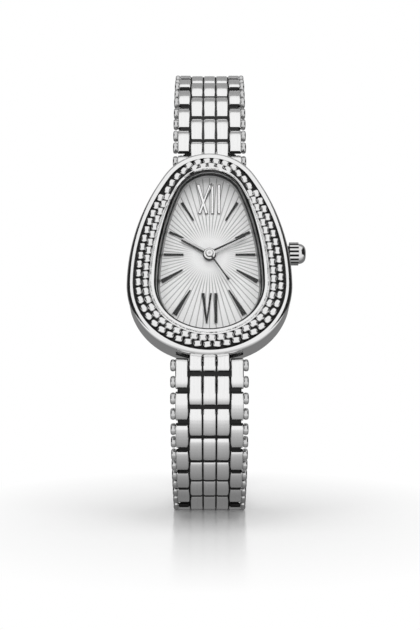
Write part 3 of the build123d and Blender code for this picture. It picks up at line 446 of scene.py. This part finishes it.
single = {
    "case_body": case_polish, "crystal": crystal_glass,
    "dial": dial_silver, "dial_ring": flange_satin, "case_back": back_brush,
    "crown_stem": inner_steel, "crown_tube": inner_steel, "setting_lever": inner_steel,
    "clasp_cover": clasp_brush, "clasp_middle_leaf": clasp_brush, "clasp_end_leaf": clasp_brush,
    "clasp_button_left": pin_polish, "clasp_button_right": pin_polish,
    "movement_holder": holder_plastic, "main_plate": plate_brass, "train_bridge": plate_brass,
    "circuit_board": board_green, "battery": cell_steel, "coil": winding,
    "stator": magnet_steel, "rotor": magnet_steel, "intermediate_wheel": wheel_brass,
    "fourth_wheel": wheel_brass, "third_wheel": wheel_brass, "minute_wheel": wheel_brass,
}
for name, material in single.items():
    paint(name, material)
print("parts with one finish:", len(single))

# %% [markdown]
# A few parts have two finishes. The flutes of the crown are cut into its round side, and the
# shade in them is painted dark: a face closer to the axis than the crown's skin is painted dark,
# and so is the neck. Two wheels stand up through the dial under the hands, and their ends there
# are painted dark as the shade under the hands.

# %% Parts with two finishes
crown_up, crown_out, crown_skin = 0.87, -1.7, 1.70
neck_end, flutes_start, flutes_end = 11.87, 11.9, 13.15
under_hands = -0.6


def crown_slot(middle, normal):
    x = middle.x / MM
    up = (middle - hub).dot(up_way) / MM
    from_axis = math.hypot(up - crown_up, dial_level(middle) - crown_out)
    fluted = flutes_start < x < flutes_end and from_axis < crown_skin
    # Painted shade in the flutes and on the neck.
    return 1 if fluted or x < neck_end else 0


def wheel_slot(middle, normal):
    # Painted shade on the wheel ends under the hands.
    return 1 if dial_level(middle) > under_hands else 0


print("crown faces:", paint("crown", crown_polish, painted_shade_dark, choose=crown_slot))
for name in ("centre_wheel", "hour_wheel"):
    print(name, "faces:", paint(name, wheel_brass, hand_painted_shade, choose=wheel_slot))

# %% [markdown]
# The rest is modelled again by hand. Each piece starts as a primitive or as a copy of a CAD
# mesh and is shaped in edit mode. An operator acts on all that is chosen, so every step first
# clears the choice. These steps come back for every piece.

# %% Modelling steps
sharp_angle = 60


def clear_choice():
    if bpy.context.object and bpy.context.object.mode != "OBJECT":
        bpy.ops.object.mode_set(mode="OBJECT")
    bpy.ops.object.select_all(action="DESELECT")


def choose_piece(piece):
    """Leave one piece chosen and active"""
    clear_choice()
    piece.select_set(True)
    bpy.context.view_layer.objects.active = piece


def edit_all():
    """Go into edit mode with everything chosen"""
    bpy.ops.object.mode_set(mode="EDIT")
    bpy.ops.mesh.select_all(action="SELECT")


def end_edit():
    bpy.ops.object.mode_set(mode="OBJECT")


def bevel_sharp(offset, segments):
    """Round the edges of the active piece that turn by more than an angle"""
    bpy.ops.object.mode_set(mode="EDIT")
    bpy.ops.mesh.select_all(action="DESELECT")
    bpy.ops.mesh.edges_select_sharp(sharpness=math.radians(sharp_angle))
    bpy.ops.mesh.bevel(offset=offset * MM, segments=segments)
    end_edit()


def apply_place():
    bpy.ops.object.transform_apply(location=True, rotation=True, scale=True)


def soften(piece, angle):
    """Shade a piece smooth, apart from edges sharper than an angle"""
    choose_piece(piece)
    bpy.ops.object.shade_smooth_by_angle(angle=math.radians(angle))


print("modelling steps ready")

# %% [markdown]
# What repeats is modelled once and copied, and each copy has a mesh of its own. A finished piece
# keeps its object at the origin, with its place in its mesh, as the CAD parts do.


# %% Steps for whole pieces
def joined(parts, name):
    """Several objects as one under a new name"""
    clear_choice()
    for part in parts:
        part.select_set(True)
    bpy.context.view_layer.objects.active = parts[0]
    bpy.ops.object.join()
    parts[0].name = name
    return parts[0]


def settle(piece, matrix):
    """Put a piece at its place in the frame and leave its object at the origin"""
    clear_choice()
    piece.matrix_world = matrix
    choose_piece(piece)
    apply_place()
    return piece


def copied(piece, name):
    """A copy of a piece with a mesh of its own"""
    twin = piece.copy()
    twin.data = piece.data.copy()
    twin.name = name
    bpy.context.scene.collection.objects.link(twin)
    return twin


def merged_copy(node_name, name, gap):
    """A copy of a CAD mesh with its loose triangles merged, ready for choosing faces"""
    piece = copied(nodes[node_name], name)
    choose_piece(piece)
    piece.matrix_world = Matrix.Identity(4)
    edit_all()
    bpy.ops.mesh.remove_doubles(threshold=gap * MM)
    end_edit()
    return piece


def inset_faces(piece, wanted, border):
    """Inset a border into the wanted faces; the faces inside it stay chosen"""
    choose_piece(piece)
    bpy.ops.object.mode_set(mode="EDIT")
    bpy.ops.mesh.select_mode(type="FACE")
    bpy.ops.mesh.select_all(action="DESELECT")
    end_edit()
    for face in piece.data.polygons:
        face.select = wanted(face)
    bpy.ops.object.mode_set(mode="EDIT")
    bpy.ops.mesh.inset(thickness=border * MM, depth=0)
    end_edit()


def drop_pieces(*spare):
    clear_choice()
    for piece in spare:
        bpy.data.objects.remove(piece, do_unlink=True)


def slots(piece, materials, choose):
    """Fill the slots of a piece; choose takes a face's middle in millimetres and its normal"""
    piece.data.materials.clear()
    for material in materials:
        piece.data.materials.append(material)
    for face in piece.data.polygons:
        face.material_index = choose(face.center / MM, face.normal)


print("steps for whole pieces ready")

# %% [markdown]
# A bar of the bracelet is domed: seen from the side it is a long ellipse. It starts as a
# cylinder lying across the strap, is stretched along the strap and gets a small bevel round
# each side. Its dome is brushed and its bevels are polished. The sides and ends that face
# another bar are painted dark as the shade between the bars, which gives the black gaps.

# %% One bar
bar_sides, bar_reach, bar_rise, bar_wide, bar_bevel = 24, 2.2, 0.925, 1.80, 0.16
bar_step, row_pitch = 1.98, 4.7
facing_side, facing_end, on_bevel = 0.95, 0.80, 0.30
bar_metals_and_shade = (bar_brush, painted_shade_dark, bar_polish)


def make_bar(middle_x, middle_y, outer_side):
    """One bar in row coordinates: x across, y along; outer_side shows a polished side"""
    clear_choice()
    bpy.ops.mesh.primitive_cylinder_add(
        vertices=bar_sides, radius=MM, depth=bar_wide * MM,
        location=(middle_x * MM, middle_y * MM, 0), rotation=(0, math.radians(90), 0),
    )
    apply_place()
    edit_all()
    bpy.ops.transform.resize(value=(1, bar_reach, bar_rise))
    end_edit()
    bevel_sharp(bar_bevel, 2)
    bar = bpy.context.object

    def slot(middle, normal):
        # Faces towards another bar take the painted shade.
        if abs(normal.x) > facing_side:
            return 2 if outer_side * normal.x > 0 else 1
        if abs(normal.y) > facing_end:
            return 1
        return 2 if abs(normal.x) > on_bevel else 0

    slots(bar, bar_metals_and_shade, slot)
    soften(bar, 50)
    return bar


sample = make_bar(0, 0, 0)
print("one bar has", len(sample.data.polygons), "faces")
drop_pieces(sample)

# %% [markdown]
# Each pin ends in a polished, rounded head: a short cylinder whose edges are bevelled until its
# end is nearly a dome. It is polished all over, and a little darker than the bars.

# %% One pin head
head_sides, head_radius, head_start, head_high, head_round = 20, 0.85, 4.82, 0.76, 0.28


def make_head(side, along):
    """The head of a pin at one side of the strap"""
    clear_choice()
    middle = side * (head_start + head_high / 2)
    bpy.ops.mesh.primitive_cylinder_add(
        vertices=head_sides, radius=head_radius * MM, depth=head_high * MM,
        location=(middle * MM, along * MM, 0), rotation=(0, math.radians(90), 0),
    )
    apply_place()
    head = bpy.context.object
    bevel_sharp(head_round, 3)
    slots(head, (pin_polish,), lambda middle, normal: 0)
    soften(head, 60)
    return head


print("a head is", 2 * head_radius, "mm across")

# %% [markdown]
# A core painted in dark shade fills the gaps of a row, so they show shade and not the light
# behind
# them: a thin plate between the pins and a sleeve round each pin. All of it lies deeper than the
# bars.

# %% Core of a row
core_gap, core_half_width, core_half_high, core_bevel = 0.3, 4.55, 0.3, 0.1
sleeve_sides, sleeve_radius = 16, 0.6


def shape_block(width, length, high):
    """Shape the active cube into a block with a narrow bevel"""
    edit_all()
    bpy.ops.transform.resize(value=(width, length, high))
    bpy.ops.mesh.bevel(offset=core_bevel * MM, segments=1)
    end_edit()


def make_shade_core(start, end, half_width, pins_along):
    """A plate from start to end along the row and a sleeve at each pin"""
    clear_choice()
    bpy.ops.mesh.primitive_cube_add(size=MM, location=(0, (start + end) / 2 * MM, 0))
    apply_place()
    shape_block(2 * half_width, end - start, 2 * core_half_high)
    parts = [bpy.context.object]
    for along in pins_along:
        clear_choice()
        bpy.ops.mesh.primitive_cylinder_add(
            vertices=sleeve_sides, radius=sleeve_radius * MM, depth=2 * half_width * MM,
            location=(0, along * MM, 0), rotation=(0, math.radians(90), 0),
        )
        apply_place()
        bevel_sharp(core_bevel, 1)
        parts.append(bpy.context.object)
    # Every part of the core takes the painted shade.
    for part in parts:
        slots(part, bar_metals_and_shade, lambda middle, normal: 1)
    return joined(parts, "core")


core = make_shade_core(core_gap, row_pitch - core_gap, core_half_width, (0, row_pitch / 2))
print("the core of a row has", len(core.data.polygons), "faces")

# %% [markdown]
# A row has two outer bars from its first pin to its second and three centre bars from there
# to the next row. It is made once. Before its parts are joined, the bars that the end links
# will need are copied from it.

# %% One row
outer_along, centre_along = row_pitch * 0.25, row_pitch * 0.75
centre_bars = [make_bar(step * bar_step, centre_along, 0) for step in (-1, 0, 1)]
outer_bars = [make_bar(side * 2 * bar_step, outer_along, side) for side in (-1, 1)]
heads = [make_head(side, along) for side in (-1, 1) for along in (row_pitch / 2, 0)]
link_parts = {"lower": centre_bars, "upper": centre_bars + outer_bars + heads[::2]}
link_bars = {}
for strap, parts in link_parts.items():
    link_bars[strap] = joined([copied(part, "link bar") for part in parts], "link bars")
row = joined(centre_bars + outer_bars + heads + [core], "row")
print("one row has", len(row.data.polygons), "faces")

# %% [markdown]
# Row by row, a copy takes the place of the CAD row and moves with it. Two pins that follow each
# other give the place and the direction of a row, and the joints of the frame hold all pins.


# %% Rows of both straps
def strap_rows(strap):
    return sorted(name for name in nodes if name.startswith(strap + "_row_"))


def hinge_points(strap):
    """Pins of a strap in the side view, one more than it has rows"""
    clasp = {"lower": "clasp_cover", "upper": "clasp_end_leaf"}[strap]
    bodies = [name + "_body" for name in strap_rows(strap)] + [clasp]
    by_child = {joint["child"]: joint for joint in frame["joints"]}
    return [Vector(by_child[body]["pos_m"]) for body in bodies]


def strap_matrix(start, along):
    """Row coordinates to the frame: x across, y along the row"""
    out = Vector((1, 0, 0)).cross(along)
    turn = Matrix((Vector((1, 0, 0)), along, out)).transposed().to_4x4()
    return Matrix.Translation(start) @ turn


first_hinge = {}
for strap in ("lower", "upper"):
    pins = hinge_points(strap)
    first_hinge[strap] = pins[0]
    for index, name in enumerate(strap_rows(strap)):
        along = (pins[index + 1] - pins[index]).normalized()
        piece = settle(copied(row, name + "_bars"), strap_matrix(pins[index], along))
        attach(piece, name + "_body")
        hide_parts(name)
drop_pieces(row)
print("rows placed:", len(strap_rows("lower")) + len(strap_rows("upper")))

# %% [markdown]
# The strap leaves the case on bars of the same kind. A block behind them, painted dark as shade,
# sits in its pocket in the case. Its two ends are measured from the centre of the dial along the
# case.

# %% End links
block_ends = {"lower": (13.83, 15.37), "upper": (14.38, 15.60)}
block_wide, block_high = 5.6, 1.80
for strap, (block_start, block_end) in block_ends.items():
    along = up_way if strap == "upper" else -up_way
    bars = link_bars[strap]
    settle(bars, strap_matrix(first_hinge[strap] - along * row_pitch * MM, along))
    clear_choice()
    bpy.ops.mesh.primitive_cube_add(size=MM)
    block = bpy.context.object
    shape_block(block_wide, block_end - block_start, block_high)
    # The block takes the painted shade all over.
    slots(block, bar_metals_and_shade, lambda middle, normal: 1)
    hinge_reach = (first_hinge[strap] - hub).dot(along) / MM
    back = (hinge_reach - (block_start + block_end) / 2) * MM
    settle(block, strap_matrix(first_hinge[strap] - along * back, along))
    link = joined([bars, block], "end_link_" + strap + "_piece")
    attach(link, body_of(nodes["end_link_" + strap])[0])
    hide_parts("end_link_" + strap)
    print(link.name, "has", len(link.data.polygons), "faces")

# %% [markdown]
# The polished ring of the bezel slopes down to the crystal on its inner side, and that slope
# is black in the photo. The CAD ring is flat on top. So a copy of the bezel keeps its outline,
# and the flat crest of its ring gets an inset border, which becomes the slope later.

# %% Bezel with an inset crest
ring_slope, ring_drop = 0.25, 0.25
crest_level, channel_top = 2.19, 1.8
looks_out, stands_up = 0.99, 0.3


def on_crest(face):
    """Whether a face of the bezel lies flat on the crest, all its corners with it"""
    corners = [dial_level(bezel.data.vertices[point].co) for point in face.vertices]
    return min(corners) > crest_level and face.normal.dot(out_way) > looks_out


bezel = merged_copy("bezel", "bezel_piece", 0.001)
bpy.ops.mesh.customdata_custom_splitnormals_clear()
inset_faces(bezel, on_crest, ring_slope)
print("bezel faces:", len(bezel.data.polygons))

# %% [markdown]
# The inner wall of the bezel faces the centre. The border of the crest that touches it is the
# slope. Slope, inner wall and the floor under the studs are painted dark as shade, and the rest
# is polished.

# %% Dark faces of the bezel
painted_shade_faces = set()
wall_points = set()
for face in bezel.data.polygons:
    outward = face.normal.dot(out_way)
    upright = abs(outward) < stands_up
    if outward > looks_out and dial_level(face.center) < channel_top:
        painted_shade_faces.add(face.index)
    elif upright and face.normal.dot(face.center - hub) < 0:
        painted_shade_faces.add(face.index)
    if upright and face.index in painted_shade_faces:
        wall_points.update(
            point for point in face.vertices
            if dial_level(bezel.data.vertices[point].co) > crest_level
        )
for face in bezel.data.polygons:
    if on_crest(face) and not face.select and wall_points & set(face.vertices):
        painted_shade_faces.add(face.index)
bezel.data.materials.clear()
for material in (case_polish, painted_shade_dark):
    bezel.data.materials.append(material)
for face in bezel.data.polygons:
    # The chosen faces take the painted shade.
    face.material_index = 1 if face.index in painted_shade_faces else 0
print("dark faces of the bezel:", len(painted_shade_faces))

# %% [markdown]
# Lowering the points at the top of the inner wall tilts the dark border into the slope.

# %% Slope of the bezel
bpy.ops.object.mode_set(mode="EDIT")
bpy.ops.mesh.select_mode(type="VERT")
bpy.ops.mesh.select_all(action="DESELECT")
end_edit()
for vertex in bezel.data.vertices:
    vertex.select = vertex.index in wall_points
bpy.ops.object.mode_set(mode="EDIT")
bpy.ops.transform.translate(value=-out_way * ring_drop * MM)
end_edit()
soften(bezel, 15)
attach(bezel, "watch_case")
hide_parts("bezel")
print("inner edge of the ring lowered:", len(wall_points), "points")

# %% [markdown]
# The studs of the bezel stand in two rows. Their places are those of the CAD studs, so none is
# typed again: each loose part of that mesh gives one middle, and its height says which row it
# belongs to. Sorted by angle, each stud knows its neighbours.

# %% Places of the studs
merged_copy("bezel_studs", "stud finder", 0.002)
edit_all()
bpy.ops.mesh.separate(type="LOOSE")
end_edit()
loose = list(bpy.context.selected_objects)
middles = []
for part in loose:
    points = [vertex.co for vertex in part.data.vertices]
    low = min(dial_level(point) for point in points)
    middle = sum(points, Vector()) / len(points) - hub
    middles.append((round(low, 1), middle.x / MM, middle.dot(up_way) / MM))
drop_pieces(*loose)
stud_rows = [sorted(
    (place for place in middles if place[0] == level),
    key=lambda place: math.atan2(place[2], place[1]),
) for level in sorted({place[0] for place in middles})]
print("studs found:", [len(places) for places in stud_rows])

# %% [markdown]
# One stud is a small pillow: a block with all its edges well rounded.

# %% One stud
stud_size, stud_lift, stud_round = (1.20, 0.96, 0.66), 0.17, 0.32
clear_choice()
bpy.ops.mesh.primitive_cube_add(size=MM)
stud = bpy.context.object
edit_all()
bpy.ops.transform.resize(value=stud_size)
bpy.ops.transform.translate(value=(0, 0, stud_lift * MM))
bpy.ops.mesh.bevel(offset=stud_round * MM, segments=3)
end_edit()
slots(stud, (stud_polish,), lambda middle, normal: 0)
soften(stud, 60)
print("one stud has", len(stud.data.polygons), "faces")

# %% [markdown]
# The stud is copied to every place. The line from one neighbour to the other turns it along the
# bezel, and a small twist sets it a little askew, as the photo shows. The outer row moves out
# until it nearly touches the rim.

# %% All studs
stud_twist, outer_shift = math.radians(10), 0.12
outer_row = max(stud_rows, key=len)
all_studs = []
for places in stud_rows:
    for index, (level, x, y) in enumerate(places):
        before, after = places[index - 1], places[(index + 1) % len(places)]
        turn = math.atan2(after[2] - before[2], after[1] - before[1])
        if places is outer_row:
            x += outer_shift * math.sin(turn)
            y -= outer_shift * math.cos(turn)
        turn += stud_twist if x < 0 else -stud_twist
        spot = Matrix.Translation((x * MM, y * MM, level * MM)) @ Matrix.Rotation(turn, 4, "Z")
        all_studs.append(settle(copied(stud, "stud"), dial_frame @ spot))
drop_pieces(stud)
stud_piece = joined(all_studs, "bezel_pillow_studs")
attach(stud_piece, "watch_case")
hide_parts("bezel_studs")
print("studs placed:", len(all_studs))

# %% [markdown]
# The markers keep the outlines of the CAD markers. Each upper face gets a narrow border by an
# inset. The border is painted dark as shade on all of them, and the face inside it is painted
# with a bright reflection on the twelve, so the twelve shows as bright strokes with a thin dark
# outline.

# %% Markers
nearly_flat, border, twelve_low, twelve_half_width = 3, 0.07, 6.2, 2.2
markers = merged_copy("hour_markers", "hour_markers_piece", 0.001)
edit_all()
bpy.ops.mesh.dissolve_limited(angle_limit=math.radians(nearly_flat))
end_edit()
inset_faces(markers, lambda face: face.normal.dot(out_way) > looks_out, border)
inner_faces = {face.index for face in markers.data.polygons if face.select}
markers.data.materials.clear()
for material in (marker_painted_shade, marker_painted_highlight):
    markers.data.materials.append(material)
for face in markers.data.polygons:
    high = (face.center - hub).dot(up_way) / MM
    in_twelve = high > twelve_low and abs(face.center.x) < twelve_half_width * MM
    # A painted reflection on the twelve's inner faces, painted shade on all other faces.
    face.material_index = 1 if in_twelve and face.index in inner_faces else 0
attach(markers, "watch_case")
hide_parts("hour_markers")
print("marker faces", len(markers.data.polygons))

# %% [markdown]
# A hand is a thin roof: a rod with four sides, pressed flat, so that one long facet is painted
# in shade and the other in light. A flat round hub carries it, its rounded side painted in
# shade.

# %% Parts of a hand
hand_shade_and_light_metals = (hand_painted_shade, hand_painted_light, hub_painted_highlight)
disc_sides, disc_edge = 40, 0.8


def rod(start, end, first_wide, last_wide, high, light=1):
    """A rod along x of the hand, pressed flat, its upper facet painted in shade; light is the
    slot of its lower facet
    """
    clear_choice()
    bpy.ops.mesh.primitive_cone_add(
        vertices=4, radius1=first_wide / 2 * MM, radius2=last_wide / 2 * MM,
        depth=(end - start) * MM, location=((start + end) / 2 * MM, 0, 0),
        rotation=(0, math.radians(90), 0),
    )
    apply_place()
    edit_all()
    bpy.ops.transform.resize(value=(1, 1, high / first_wide))
    end_edit()
    piece = bpy.context.object
    # The upper facet takes the painted shade, and the lower one the slot given by light.
    slots(piece, hand_shade_and_light_metals, lambda middle, normal: 0 if normal.y > 0 else light)
    return piece


def hub_disc(radius, low, high, round_by, top):
    """A disc with rounded edges painted in shade; top is the slot of its flat faces"""
    clear_choice()
    bpy.ops.mesh.primitive_cylinder_add(
        vertices=disc_sides, radius=radius * MM, depth=(high - low) * MM,
        location=(0, 0, (low + high) / 2 * MM),
    )
    apply_place()
    disc = bpy.context.object
    bevel_sharp(round_by, 2)
    # The rounded side takes the painted shade.
    slots(disc, hand_shade_and_light_metals, lambda middle, normal: 0 if abs(normal.z) < disc_edge else top)
    soften(disc, 40)
    return disc


def place_hand(parts, name, angle, level):
    """Join the parts of a hand, turn it by an angle from the right and lift it to its level"""
    lift = Matrix.Translation((0, 0, level * MM))
    turn = Matrix.Rotation(math.radians(angle), 4, "Z")
    piece = joined(parts, name + "_piece")
    settle(piece, dial_frame @ lift @ turn)
    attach(piece, body_of(nodes[name])[0])
    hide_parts(name)
    print(name, "has", len(piece.data.polygons), "faces")


print("a hand can take", len(hand_shade_and_light_metals), "metals")

# %% [markdown]
# The photo shows about ten past ten. The three hands lie one over the other, and the hub of the
# second hand is a small stepped cap.

# %% Three hands
hand_start, hand_high = 0.7, 0.10
hour_tip, hour_angle, hour_level = 4.73, 150, 0.35
minute_tip, minute_angle, minute_level = 6.0, 27, 0.57
hour_widths, minute_widths = (0.70, 0.54), (0.66, 0.46)
second_tail, second_neck, second_tip, neck_overlap = -0.6, 4.0, 5.05, 0.1
second_widths, tip_widths, second_high, tip_high = (0.26, 0.20), (0.18, 0.42), 0.08, 0.04
second_angle, second_level = -56, 0.77
hour = [
    rod(hand_start, hour_tip, *hour_widths, hand_high),
    hub_disc(0.99, -0.05, 0.05, 0.03, 0),
]
place_hand(hour, "hour_hand", hour_angle, hour_level)
minute = [
    rod(hand_start, minute_tip, *minute_widths, hand_high),
    hub_disc(0.84, -0.05, 0.05, 0.03, 2),
]
place_hand(minute, "minute_hand", minute_angle, minute_level)
second = [
    rod(second_tail, second_neck, *second_widths, second_high, 0),
    rod(second_neck - neck_overlap, second_tip, *tip_widths, tip_high, 0),
    hub_disc(0.60, -0.05, 0.04, 0.04, 0),
    hub_disc(0.52, 0.0, 0.11, 0.06, 2),
    hub_disc(0.20, 0.0, 0.13, 0.03, 1),
]
place_hand(second, "second_hand", second_angle, second_level)

# %% [markdown]
# The watch stands on a pale, slightly glossy table. Close to the watch the camera sees the real
# table with its soft shadow, and farther out it fades to a white glow. Polished metal sees a
# dim grey glow near the watch, a painted shade that darkens its lower parts, and a white one
# farther in front.

# %% Table
shadow_middle, shadow_near, shadow_far = 12, 10, 46
reflected_shade_until, white_from, reflected_shade_level = 12, 60, 0.22


def stage_plane(name, size, place, turn, material):
    """A plane around the watch that belongs to the studio"""
    clear_choice()
    bpy.ops.mesh.primitive_plane_add(size=1, location=place, rotation=turn)
    plane = bpy.context.object
    plane.name = name
    plane.scale = (size[0], size[1], 1)
    apply_place()
    plane.data.materials.append(material)
    return plane


table = Finish("pale table", grey(0.86), 0.0, 0.20)
moved = {0: table.place((1, 1, 0)), 1: (0, shadow_middle, 0)}
beside_watch = table.node("ShaderNodeVectorMath", {"operation": "ADD"}, moved)
from_watch = table.node(
    "ShaderNodeVectorMath", {"operation": "LENGTH"}, {"Vector": beside_watch}, "Value"
)
glow = table.ray("Is Camera Ray") * table.ramp(from_watch, shadow_near, shadow_far)
before_watch = table.apart(table.place(), 1) * -1
mirror_share = table.ramp(before_watch, reflected_shade_until, white_from)
white = table.node("ShaderNodeEmission", {}, {"Color": (*grey(1), 1)})
# Painted shade: a dim grey glow that reflections see near the watch.
reflected_shade_glow = table.node("ShaderNodeEmission", {}, {"Color": (*grey(reflected_shade_level), 1)})
lit = Value(table, table.shader.outputs[0])
seen = table.node("ShaderNodeMixShader", {}, {0: glow, 1: lit, 2: white})
mirrored = table.node("ShaderNodeMixShader", {}, {0: mirror_share, 1: reflected_shade_glow, 2: white})
shares = {0: table.ray("Is Glossy Ray"), 1: seen, 2: mirrored}
whole = table.node("ShaderNodeMixShader", {}, shares)
table.tree.links.new(whole.socket, table.tree.nodes["Material Output"].inputs[0])
stage_plane("table", (4, 4), (0, 0, 0), (0, 0, 0), table.material)
print("table ready")

# %% [markdown]
# Photographers put dark cards beside shiny things, out of sight, to give the metal its black
# lines. Here they are planes that only glow with an even grey, and only reflections show them.


# %% Cards
def card(name, size, place, turn, level):
    """A card of an even grey that only reflections show"""
    finish = Finish(name, grey(0), 0.0, 1.0)
    finish.shader.inputs["Specular IOR Level"].default_value = 0
    finish.shader.inputs["Emission Color"].default_value = (*grey(level), 1)
    finish.shader.inputs["Emission Strength"].default_value = 1
    plane = stage_plane(name, size, place, turn, finish.material)
    plane.visible_camera = False
    plane.visible_diffuse = False
    plane.visible_shadow = False


upright = (0, math.radians(90), 0)
for side, side_name in ((-1, "left"), (1, "right")):
    card("card " + side_name, (0.30, 0.34), (0.22 * side, -0.10, 0.12), upright, 0.02)
for side, side_name in ((-1, "left"), (1, "right")):
    card("card behind " + side_name, (0.30, 0.40), (0.24 * side, 0.27, 0.12), upright, 0.22)
card("card over", (1.2, 0.9), (0, 0.48, 0.50), (0, 0, 0), 0.36)
print("cards ready: 5")

# %% [markdown]
# Three large lamps give soft light from above and from both sides. The metal doesn't show them,
# so they make no hard spots on the polished steel.

# %% Lamps
aim = Vector((0, 0, 0.035))


def softbox(name, place, size, power):
    data = bpy.data.lights.new(name, "AREA")
    data.shape = "RECTANGLE"
    data.size, data.size_y = size
    data.energy = power
    lamp = bpy.data.objects.new(name, data)
    bpy.context.scene.collection.objects.link(lamp)
    lamp.location = place
    lamp.rotation_euler = (aim - Vector(place)).to_track_quat("-Z", "Y").to_euler()
    lamp.visible_glossy = False


softbox("top box", (0.0, -0.10, 0.45), (0.4, 0.3), 1.1)
softbox("left box", (-0.35, -0.30, 0.30), (0.2, 0.25), 0.5)
softbox("right box", (0.35, -0.25, 0.26), (0.15, 0.25), 0.35)
print("lamps ready: 3")

# %% [markdown]
# The world is white where the camera, a reflection or glass looks at it. As a light it is
# weaker, so that dull colours render about as they are written.

# %% World
world_light, world_white = 0.35, 1.0
world = bpy.data.worlds.new("studio")
bpy.context.scene.world = world
world.use_nodes = True
sky = Wiring(world.node_tree)
looked_at = sky.maths("MAXIMUM", sky.ray("Is Camera Ray"), sky.ray("Is Glossy Ray"))
looked_at = sky.maths("MAXIMUM", looked_at, sky.ray("Is Transmission Ray"))
levels = {"Value": looked_at, "To Min": world_light, "To Max": world_white}
strength = sky.node("ShaderNodeMapRange", {}, levels)
background = sky.tree.nodes["Background"]
background.inputs["Color"].default_value = (*grey(1), 1)
sky.tree.links.new(strength.socket, background.inputs["Strength"])
bpy.context.scene.view_settings.view_transform = "Standard"
print("world ready")

# %% Finish
print("scene built")
